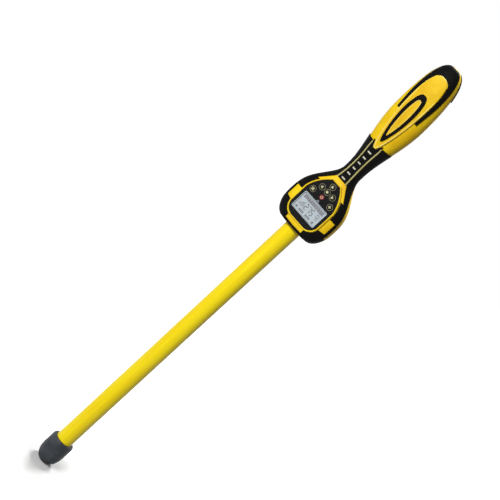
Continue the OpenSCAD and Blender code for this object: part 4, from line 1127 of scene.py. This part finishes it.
petal_table = np.linspace(PETAL_LOW, 240, 200)
print("petal's half width at 180, 201 and 250, mm:", petal_half(np.array([180, 201, 250.0])).round(1))

# %% The ladder strip
STRIP_LOW, STRIP_HIGH, STRIP_W, STRIP_WAIST = 100.0, 166.0, 15.0, 11.0
POINTS_AT, POINTS_HIGH, TIP_GAP, NOTCH_HALF, NOTCH_GAP = 177.0, 178.5, 1.6, 2.4, 1.8


def strip_half(s):
    return (STRIP_WAIST + (STRIP_W - STRIP_WAIST)
            * ((2 * np.asarray(s, float) - STRIP_LOW - STRIP_HIGH) / (STRIP_HIGH - STRIP_LOW)) ** 2) / 2


def strip_grid(lift, rows=44, cols=32):
    t = np.linspace(-1, 1, cols + 1)
    x_top = np.abs(t) * float(strip_half(POINTS_AT))
    tip = np.interp(x_top - 1.0, petal_half(petal_table), petal_table) - TIP_GAP
    top = np.minimum(np.where(x_top < NOTCH_HALF, PETAL_LOW - NOTCH_GAP, tip), POINTS_HIGH)
    r = np.linspace(0, 1, rows + 1)[:, None]
    s = STRIP_LOW + r * (top - STRIP_LOW)
    return skin(s, angle_at(s, t * strip_half(s)), lift)


strip = sheet("neck_ladder", strip_grid(PAD_T), strip_grid(SKIN_GAP))
finish_piece(rounded(strip, 0.4), "grip_rubber", "wand", "neck_strip", sharp=50)

# %% [markdown]
# ## The ladder's rungs
# Six small round bars cross the ladder. Each is a short path on the skin, and
# one node tree sweeps the same round section along all six, so every rung
# follows the neck's curve exactly. The same tree then sweeps the pale lines.

# %% Rungs along their paths
RUNG_FROM, RUNG_PITCH, RUNG_COUNT = 104.0, 11.0, 6
RUNG_R, RUNG_SHARE, RUNG_LIFT = 1.25, 0.42, 1.15
LINE_HIGH, LINE_R, LINE_GAP, LINE_LIFT = 174.0, 1.25, 1.3, 0.45


def bar_rule(finish):
    tree, start, end, names = rule_tree("rung_rule", [
        ("Paths", "Geometry", None), ("Radius", "Float", 0.001), ("Sides", "Int", 16)])
    path = tree_node(tree, "MeshToCurve", [(start.outputs["Paths"], "Mesh")])
    section = tree_node(tree, "CurvePrimitiveCircle", [
        (start.outputs["Sides"], "Resolution"), (start.outputs["Radius"], "Radius")])
    sweep = tree_node(tree, "CurveToMesh", [
        (path.outputs[0], "Curve"), (section.outputs[0], "Profile Curve")])
    sweep.inputs["Fill Caps"].default_value = True
    end_tree(tree, sweep.outputs[0], end, finish)
    return tree, names


def swept(name, finish, radius, sides, lines):
    """Round bars along paths on the skin. The paths go in as edges, the seed of the rule."""
    points, edges = [], []
    for line in lines:
        edges += [(len(points) + i, len(points) + i + 1) for i in range(len(line) - 1)]
        points += list(line)
    seed = mesh_object(name, points, [], edges)
    return grow(name, *bar_rule(finish), {"Radius": radius * MM, "Sides": sides}, seed)


def trim(name, finish, radius, sides, lines, replaces=()):
    """Swept bars in one of the pale or golden tones, on the yellow shell."""
    thing = swept(name, finish, radius, sides, lines)
    finish_piece(thing, finish, "wand", replaces, sharp=50)


def line_at(s, x, lift):
    """A path on the front of the skin, given by its heights and widths."""
    return skin(s, angle_at(s, x), lift)


across = np.linspace(-1, 1, 11)
# The rungs are coloured pale as a painted highlight on raised rubber ribs.
trim("neck_rung_bars", "rung_painted_highlight", RUNG_R, 16,
     [line_at(s, across * RUNG_SHARE * strip_half(s), RUNG_LIFT)
      for s in RUNG_FROM + RUNG_PITCH * np.arange(RUNG_COUNT)], "neck_rungs")
line_s = np.linspace(STRIP_LOW - 0.5, LINE_HIGH, 90)
line_x = strip_half(np.minimum(line_s, STRIP_HIGH)) + LINE_GAP
trim("neck_lines", "pale_line", LINE_R, 14, [line_at(line_s, side * line_x, LINE_LIFT) for side in (-1, 1)])

# %% Pads beside the ladder
PAD_LINE, PAD_HIGH, ARM_SLOPE, TURN_FROM, TURN_OVER = 2.6, 176.0, 0.78, 84.0, 28.0
pad_rows = np.concatenate([np.linspace(YOKE_LOW + 0.05, STRIP_LOW, 28),
                           np.linspace(STRIP_LOW, PAD_HIGH, 60)[1:]])


def pad_x(s):
    """Inner edge of a neck pad: outside the yoke's arm, then along the ladder."""
    arm = np.maximum(bell_x(np.minimum(s, PANEL_HIGH + 2.4)),
                     strip_half(STRIP_LOW) + (STRIP_LOW - s) * ARM_SLOPE)
    return PAD_LINE + np.where(s < STRIP_LOW, arm, strip_half(np.minimum(s, STRIP_HIGH)))


pad_side = 180 + ease(BUMPER_ANGLE, SIDE_ANGLE, (pad_rows - TURN_FROM) / TURN_OVER)
pad_pair("{}_neck_rubber", "{}_neck_pad", pad_rows,
         spans((pad_side, 14), (angle_at(pad_rows, -pad_x(pad_rows)), 0)))

# %% [markdown]
# ## The grip
# A raised yellow petal lies on the grip's front, with a black teardrop ring
# let into it. A black horseshoe wraps the grip's end and runs down both sides
# of the petal. The petal's rounded rim has a raised edge on it, coloured paler
# as a painted highlight where light catches the real rim, and a dark golden
# line just outside it is painted shade.

# %% The petal
PETAL_LIFT, PETAL_RIM = 1.99, 0.9
petal_rows = PETAL_LOW + (PETAL_HIGH - PETAL_LOW) * (1 - np.cos(np.linspace(0, math.pi, 97))) / 2
petal_edge = petal_half(petal_rows)
petal_u = spans((angle_at(petal_rows, -petal_edge), 44), (angle_at(petal_rows, petal_edge), 0))
petal = spot_sheet("grip_petal_skin", petal_rows[:, None] + 0 * petal_u, petal_u, SKIN_GAP, PETAL_LIFT,
                   PETAL_RIM)
finish_piece(petal, "petal_gold", "wand", "grip_petal", sharp=60)

# %% Its raised edge, coloured pale as a painted highlight, and a dark line beside it as painted shade, swept by the rung rule
EDGE_R, EDGE_IN, EDGE_LIFT, EDGE_FALL, FALL_FROM, FALL_OVER = 1.4, 1.0, 1.0, 0.6, 250.0, 40.0
SHADOW_LINE_R, SHADOW_LINE_OUT, SHADOW_LINE_LOW, SHADOW_LINE_HIGH = 0.6, 0.5, 178.0, 233.0
edge_s = petal_rows[2:-1]
edge_x = petal_half(edge_s) - EDGE_IN
edge_lift = EDGE_LIFT - EDGE_FALL * np.clip((edge_s - FALL_FROM) / FALL_OVER, 0, 1)
left, right = line_at(edge_s, -edge_x, edge_lift), line_at(edge_s, edge_x, edge_lift)
# The pale bead along the petal's rim is a painted highlight.
trim("petal_edge", "petal_painted_highlight", EDGE_R, 16, [np.vstack([left, right[::-1], left[:1]])])
# A dark golden bar on the shell just outside the petal's sides: painted shade, as if a groove were there.
shadow_line_s = np.linspace(SHADOW_LINE_LOW, SHADOW_LINE_HIGH, 60)
shadow_line_x = petal_half(shadow_line_s) + SHADOW_LINE_OUT
trim("petal_groove", "petal_painted_shade", SHADOW_LINE_R, 12,
     [line_at(shadow_line_s, side * shadow_line_x, 0.0) for side in (-1, 1)])

# %% The leaf ring
RING_OUTER, RING_INNER = (182.0, 240.0, 272.0, 20.5), (194.0, 236.0, 263.0, 11.0)
BEAD, BEAD_R = (197.5, 236.0, 262.2, 9.4), 0.6


def leaf_spot(turn, leaf):
    """A place on a leaf outline given by its lowest, widest and highest point and its width."""
    low, mid, high, width = leaf
    c, w = np.cos(turn), np.sin(turn)
    tail = w < 0
    x = width / 2 * power(c, np.where(tail, 1.0, 0.72)) * np.where(tail, 1 - 0.35 * w * w, 1)
    return mid + np.where(tail, mid - low, high - mid) * w, x


ring_turns = np.linspace(0, 2 * np.pi, 160, endpoint=False)
LEAF_SECTION = [(0.0, 2.05), (0.0, 2.5), (0.08, 2.76), (0.3, 2.88), (0.7, 2.88), (0.92, 2.76), (1.0, 2.5),
                (1.0, 2.05)]
(s0, x0), (s1, x1) = leaf_spot(ring_turns, RING_INNER), leaf_spot(ring_turns, RING_OUTER)
leaf = closed_sweep("grip_leaf", np.stack([
    line_at(s0 + (s1 - s0) * share, x0 + (x1 - x0) * share, lift) for share, lift in LEAF_SECTION], 1))
finish_piece(leaf, "grip_rubber", "wand", "grip_ring", sharp=50)
# The pale bead inside the leaf ring is a painted highlight, in the same paler gold.
bead_path = line_at(*leaf_spot(ring_turns, BEAD), PETAL_LIFT - 0.1)
trim("leaf_bead", "petal_painted_highlight", BEAD_R, 12, [np.vstack([bead_path, bead_path[:1]])])

# %% The horseshoe round the grip's end
SHOE_LOW, SHOE_LINE, SHOE_SIDE = 234.0, 1.2, 0.36
SHOE_ANGLE, SHOE_SPREAD, SHOE_FALL, SHOE_POWER = 210.0, 20.6, 48.0, 1.35
SHOE_END = GRIP_MID + (GRIP_END - GRIP_MID) * 0.996
PAD_END = GRIP_MID + (GRIP_END - GRIP_MID) * 0.985
SHOE_TURN = PETAL_HIGH - PETAL_W * 0.25


def shoe_inner(s):
    return petal_half(np.minimum(s, PETAL_HIGH)) + SHOE_LINE


def shoe_edge(s):
    """Angle of the outer edge, which falls smoothly towards the grip's side."""
    return SHOE_ANGLE + SHOE_SPREAD * math.exp(-((s - SHOE_LOW) / SHOE_FALL) ** SHOE_POWER)


def shoe_rim(t):
    """Outer edge of the cap: up the side from the leg, over the end, and down again."""
    near = min(t, 1 - t)
    s = SHOE_TURN + (SHOE_END - SHOE_TURN) * min(near / SHOE_SIDE, 1)
    u = shoe_edge(s)
    if near > SHOE_SIDE:
        u += (270 - u) * (near - SHOE_SIDE) / (0.5 - SHOE_SIDE)
    return s, u if t < 0.5 else mirrored(u)


legs = np.linspace(SHOE_LOW, SHOE_TURN, 44)
left_leg = [((s, shoe_edge(s)), (s, float(angle_at(s, -shoe_inner(s))))) for s in legs]
right_leg = [tuple((s, mirrored(u)) for s, u in row) for row in left_leg[::-1]]
over = []
for t in np.linspace(0, 1, 73)[1:-1]:
    s = SHOE_TURN + (PETAL_HIGH + SHOE_LINE - SHOE_TURN) * math.sin(math.pi * t)
    over.append((shoe_rim(t), (s, float(angle_at(s, -shoe_inner(SHOE_TURN) * math.cos(math.pi * t))))))
spots = np.array(left_leg + over + right_leg)
shoe_s, shoe_u = (spans((spots[:, 0, k], 14), (spots[:, 1, k], 0)) for k in (0, 1))
rubber_pad("grip_horseshoe_skin", "grip_horseshoe", shoe_s, shoe_u)

# %% The pad round the back of the grip's end
BACK_SIDE, BACK_MID, RISE_FROM, RISE_OVER = 288.0, 306.0, 24.0, 18.0
back_u = np.linspace(SIDE_ANGLE, 180 - SIDE_ANGLE, 81)
back_low = ease(BACK_SIDE, BACK_MID, (np.minimum(back_u, 180 - back_u) - RISE_FROM) / RISE_OVER)
back_s = spans((back_low, 26), (np.full_like(back_low, PAD_END), 0)).T
rubber_pad("rear_grip_skin", "rear_grip_pad", back_s, back_u[None, :] + 0 * back_s)

# %% [markdown]
# ## The battery door
# The door closes the back of the grip. It is cut from the same skin, so it
# sits flush, and it swings down on a pin at its lower end. Its window lets the
# latch slide. Raised ribs give the thumb a hold, and the rung tree sweeps them
# too: a rule made once serves again.

# %% Door, ribs and latch
DOOR_LOW, DOOR_HIGH, DOOR_HALF = 192.9, 302.0, 16.5
LATCH_FROM, LATCH_HALF, LATCH_TRAVEL = 289.0, 4.5, 2.5
HOLE_LOW, HOLE_HIGH, HOLE_HALF = 286.2, 294.3, 4.8
TAB_LOW, TAB_HIGH, HINGE_BORE, LATCH_LIP, LATCH_END = 191.8, 195.2, 1.05, 304.3, 304.0
RIB_HALF, RIB_R, RIBS = 9.0, 0.6, (266.0, 270.0, 274.0, 278.0)


def door_grid(s, x, lift):
    return on_line(s, x, back_y(s, x) + lift)


def door_sheet(name, s, x, keep=None):
    s, x = s[:, None], x[None, :]
    return sheet(name, door_grid(s, x, 0), door_grid(s, x, -WALL), keep)


below, tall, beside, wide = 47, 5, 8, 7
door_rows = spans((DOOR_LOW, below), (HOLE_LOW, tall), (HOLE_HIGH, 5), (DOOR_HIGH, 0))
door_cols = spans((-DOOR_HALF, beside), (-HOLE_HALF, wide), (HOLE_HALF, beside), (DOOR_HALF, 0))
door_keep = np.ones((len(door_rows) - 1, len(door_cols) - 1), bool)
door_keep[below:below + tall, beside:beside + wide] = False
door = rounded(door_sheet("door_skin", door_rows, door_cols, door_keep), 0.45)
tab = door_sheet("tab", np.linspace(TAB_LOW, TAB_HIGH, 5), np.linspace(-HINGE_HALF, HINGE_HALF, 9))
half = [(HINGE_R, HINGE_HALF - 0.3), (HINGE_R - 0.3, HINGE_HALF), (HINGE_BORE, HINGE_HALF)]
knuckle = lathe("knuckle", [(r, -h) for r, h in reversed(half)] + half + [(HINGE_BORE, -HINGE_HALF)],
                on_line(HINGE_S, 0, HINGE_Y), "X", 48)
rib_lines = [door_grid(s, np.linspace(-RIB_HALF, RIB_HALF, 15), 0.1) for s in RIBS]
ribs = swept("ribs", "shell_yellow", RIB_R, 12, rib_lines)
door = joined("battery_door_skin", [door, tab, knuckle, ribs])
finish_piece(door, "shell_yellow", "battery_door", "battery_door", sharp=50)


def grip_block(name, half, y0, y1, s0, s1):
    """A block in the leaning line of the grip."""
    grid = lambda y: [[on_line(s, x, y) for x in (-half, half)] for s in (s0, s1)]
    return sheet(name, grid(y1), grid(y0))


latch_y = float(depth(LATCH_LIP, HEAD_BACK)) - WALL - 0.3
latch_skin = float(back_y(LATCH_FROM - LATCH_TRAVEL, 0.0))
parts = [grip_block("body", LATCH_HALF, latch_y - 1.2, latch_skin + 0.7, LATCH_FROM, LATCH_FROM + 5),
         grip_block("tongue", LATCH_HALF, latch_y - 1.2, latch_y, LATCH_FROM + 4.9, LATCH_END),
         grip_block("slide", LATCH_HALF, latch_skin + 0.3, latch_skin + 1.1, LATCH_FROM, LATCH_FROM + 7)]
parts += [grip_block("ridge", LATCH_HALF - 0.6, latch_skin + 1.0, latch_skin + 1.68, s, s + 1.0)
          for s in LATCH_FROM + 0.9 + 1.9 * np.arange(3)]
latch = joined("door_latch_skin", [rounded(p, 0.2, 2) for p in parts])
finish_piece(latch, "panel_black", "door_latch", "door_latch", sharp=50)

# %% [markdown]
# ## The screws
# Seven cross-head screws hold the housing from behind, deep in their cups. One
# screw is modelled, with a cross cut into its head, and a node tree sets it at
# each place with that place's own lean.

# %% One screw, many places
SCREW_SIDE, SCREW_ROUND, SHANK_R, SHANK_LEN = 1.2, 0.8, 1.5, 8.0
CROSS_HALF, CROSS_REACH, CROSS_FLOOR, CROSS_TOP = 0.45, 1.9, 0.9, 3.0


def screw_model():
    """A screw along Y with its head towards the back, at the origin."""
    dome = [(SCREW_HEAD_R - SCREW_ROUND * (1 - math.cos(a)), SCREW_SIDE + SCREW_ROUND * math.sin(a))
            for a in np.linspace(0.3, math.pi / 2, 5)]
    profile = [(0, 0), (SCREW_HEAD_R, 0), (SCREW_HEAD_R, SCREW_SIDE), *dome, (0, SCREW_SIDE + SCREW_ROUND)]
    head = lathe("screw_model", [(r, -h) for r, h in profile], axis="-Y", steps=32)
    for w, h in ((CROSS_HALF, CROSS_REACH), (CROSS_REACH, CROSS_HALF)):
        grid = lambda y: [[(x * MM, y * MM, z * MM) for x in (-w, w)] for z in (-h, h)]
        cut(head, sheet("cross", grid(CROSS_TOP), grid(CROSS_FLOOR)))
    shank = lathe("shank", [(0, SHANK_LEN), (SHANK_R, SHANK_LEN), (SHANK_R, -0.1), (0, -0.1)], axis="-Y",
                  steps=24)
    return joined("screw_model", [head, shank])


def place_rule():
    tree, start, end, names = rule_tree("screw_rule", [
        ("Places", "Geometry", None), ("Screw", "Object", None)])
    source = tree_node(tree, "ObjectInfo", [(start.outputs["Screw"], "Object")])
    lean = tree_node(tree, "InputNamedAttribute", data_type="FLOAT_VECTOR")
    lean.inputs["Name"].default_value = "lean"
    turn = tree_node(tree, "FunctionNodeEulerToRotation", [(lean.outputs["Attribute"], 0)])
    copies = tree_node(tree, "InstanceOnPoints", [(start.outputs["Places"], "Points"),
                                                  (source.outputs["Geometry"], "Instance"),
                                                  (turn.outputs[0], "Rotation")])
    end_tree(tree, copies.outputs[0], end, "steel")
    return tree, names


def set_screws(name, places, replaced):
    seed = mesh_object(name, [on_line(s, x, y + 0.1) for x, s, y in places], [])
    leans = seed.data.attributes.new("lean", "FLOAT_VECTOR", "POINT")
    leans.data.foreach_set("vector", np.array([(float(lean_at(s)), 0, 0) for _, s, _ in places]).ravel())
    grow(name, *place_rule(), {"Screw": screw}, seed)
    return finish_piece(seed, "steel", "wand", replaced, sharp=35)


screw = screw_model()
set_screws("case_screw_set", seats[:5], "case_screws")
set_screws("tube_screw_set", seats[5:], "tube_screws")
bpy.data.objects.remove(screw)

# %% [markdown]
# ## Floor and light
# The photo is a cut-out on white with a soft grey shadow under the tip. A wide
# floor lies at the tip. To the camera it turns white a little way off, and near
# the tip it keeps the shadow. A large soft lamp stands in front, to the left and
# above, a small one stands behind, and a pale sky fills the rest, so that
# colours render about as they are written.

# %% Stage
FLOOR_Z, FLOOR_HALF = TIP_Z * MM - 0.0005, 14.0
FLOOR_NEAR, FLOOR_FAR, FLOOR_REACH, SKY = 0.04, 1.0, (0.03, 0.15), 0.14


def seen_rays(tree):
    """1 for the rays that show the background: straight, mirrored or through glass."""
    rays = tree.nodes.new("ShaderNodeLightPath")
    last = rays.outputs["Is Camera Ray"]
    for kind in ("Is Glossy Ray", "Is Transmission Ray"):
        most = tree.nodes.new("ShaderNodeMath")
        most.operation = "MAXIMUM"
        tree.links.new(last, most.inputs[0])
        tree.links.new(rays.outputs[kind], most.inputs[1])
        last = most.outputs[0]
    return last


def grey(level):
    return (level, level, level, 1)


def white_floor():
    f = Finish("white_floor")
    shown = seen_rays(f.tree)
    away = f.add("ShaderNodeVectorMath", operation="DISTANCE")
    f.link(f.place, away.inputs[0])
    away.inputs[1].default_value = (0, 0, FLOOR_Z)
    glow = f.spread(away.outputs["Value"], FLOOR_NEAR, FLOOR_FAR, FLOOR_REACH)
    seen = f.add("ShaderNodeMath", operation="MULTIPLY")
    f.link(shown, seen.inputs[0])
    f.link(glow, seen.inputs[1])
    pale = f.ramp(f.noise(3.0, 2.0), [(0.3, grey(0.78)), (0.7, grey(0.8))])
    f.colour(f.mix(shown, grey(0.22), pale))
    f.set(Roughness=0.9, Specular_IOR_Level=0.0, Emission_Color=grey(1))
    f.link(seen.outputs[0], f.shader.inputs["Emission Strength"])
    return f.material


corners = [(x * FLOOR_HALF, y * FLOOR_HALF, FLOOR_Z) for x, y in ((-1, -1), (1, -1), (1, 1), (-1, 1))]
floor = mesh_object("floor", corners, [(0, 1, 2, 3)])
floor.data.materials.append(white_floor())


def lamp(name, place, aim, power_w, width):
    data = bpy.data.lights.new(name, "AREA")
    data.energy, data.shape, data.size = power_w, "SQUARE", width
    thing = bpy.data.objects.new(name, data)
    thing.location = place
    thing.rotation_euler = (Vector(aim) - Vector(place)).to_track_quat("-Z", "Y").to_euler()
    thing.visible_camera = False
    scene_objects.link(thing)


lamp("key_lamp", (-0.8, -3.0, 1.3), (0, 0, -0.35), 118, 1.4)
lamp("top_lamp", (-0.1, 0.7, 1.1), (0, 0, -0.76), 26, 0.36)

world = bpy.data.worlds.new("pale_sky")
bpy.context.scene.world = world
world.use_nodes = True
sky = world.node_tree
back = sky.nodes["Background"]
level = sky.nodes.new("ShaderNodeMapRange")
level.inputs["To Min"].default_value, level.inputs["To Max"].default_value = SKY, 1.0
sky.links.new(seen_rays(sky), level.inputs["Value"])
sky.links.new(level.outputs["Result"], back.inputs["Strength"])
back.inputs["Color"].default_value = grey(1)
bpy.context.scene.view_settings.view_transform = "Standard"
print("stage ready")

# %% [markdown]
# ## The last update
# The finished pieces are meant to fill the same box as the solids. At the end
# the view layer is brought up to date.

# %% Update the view layer
bpy.context.view_layer.update()
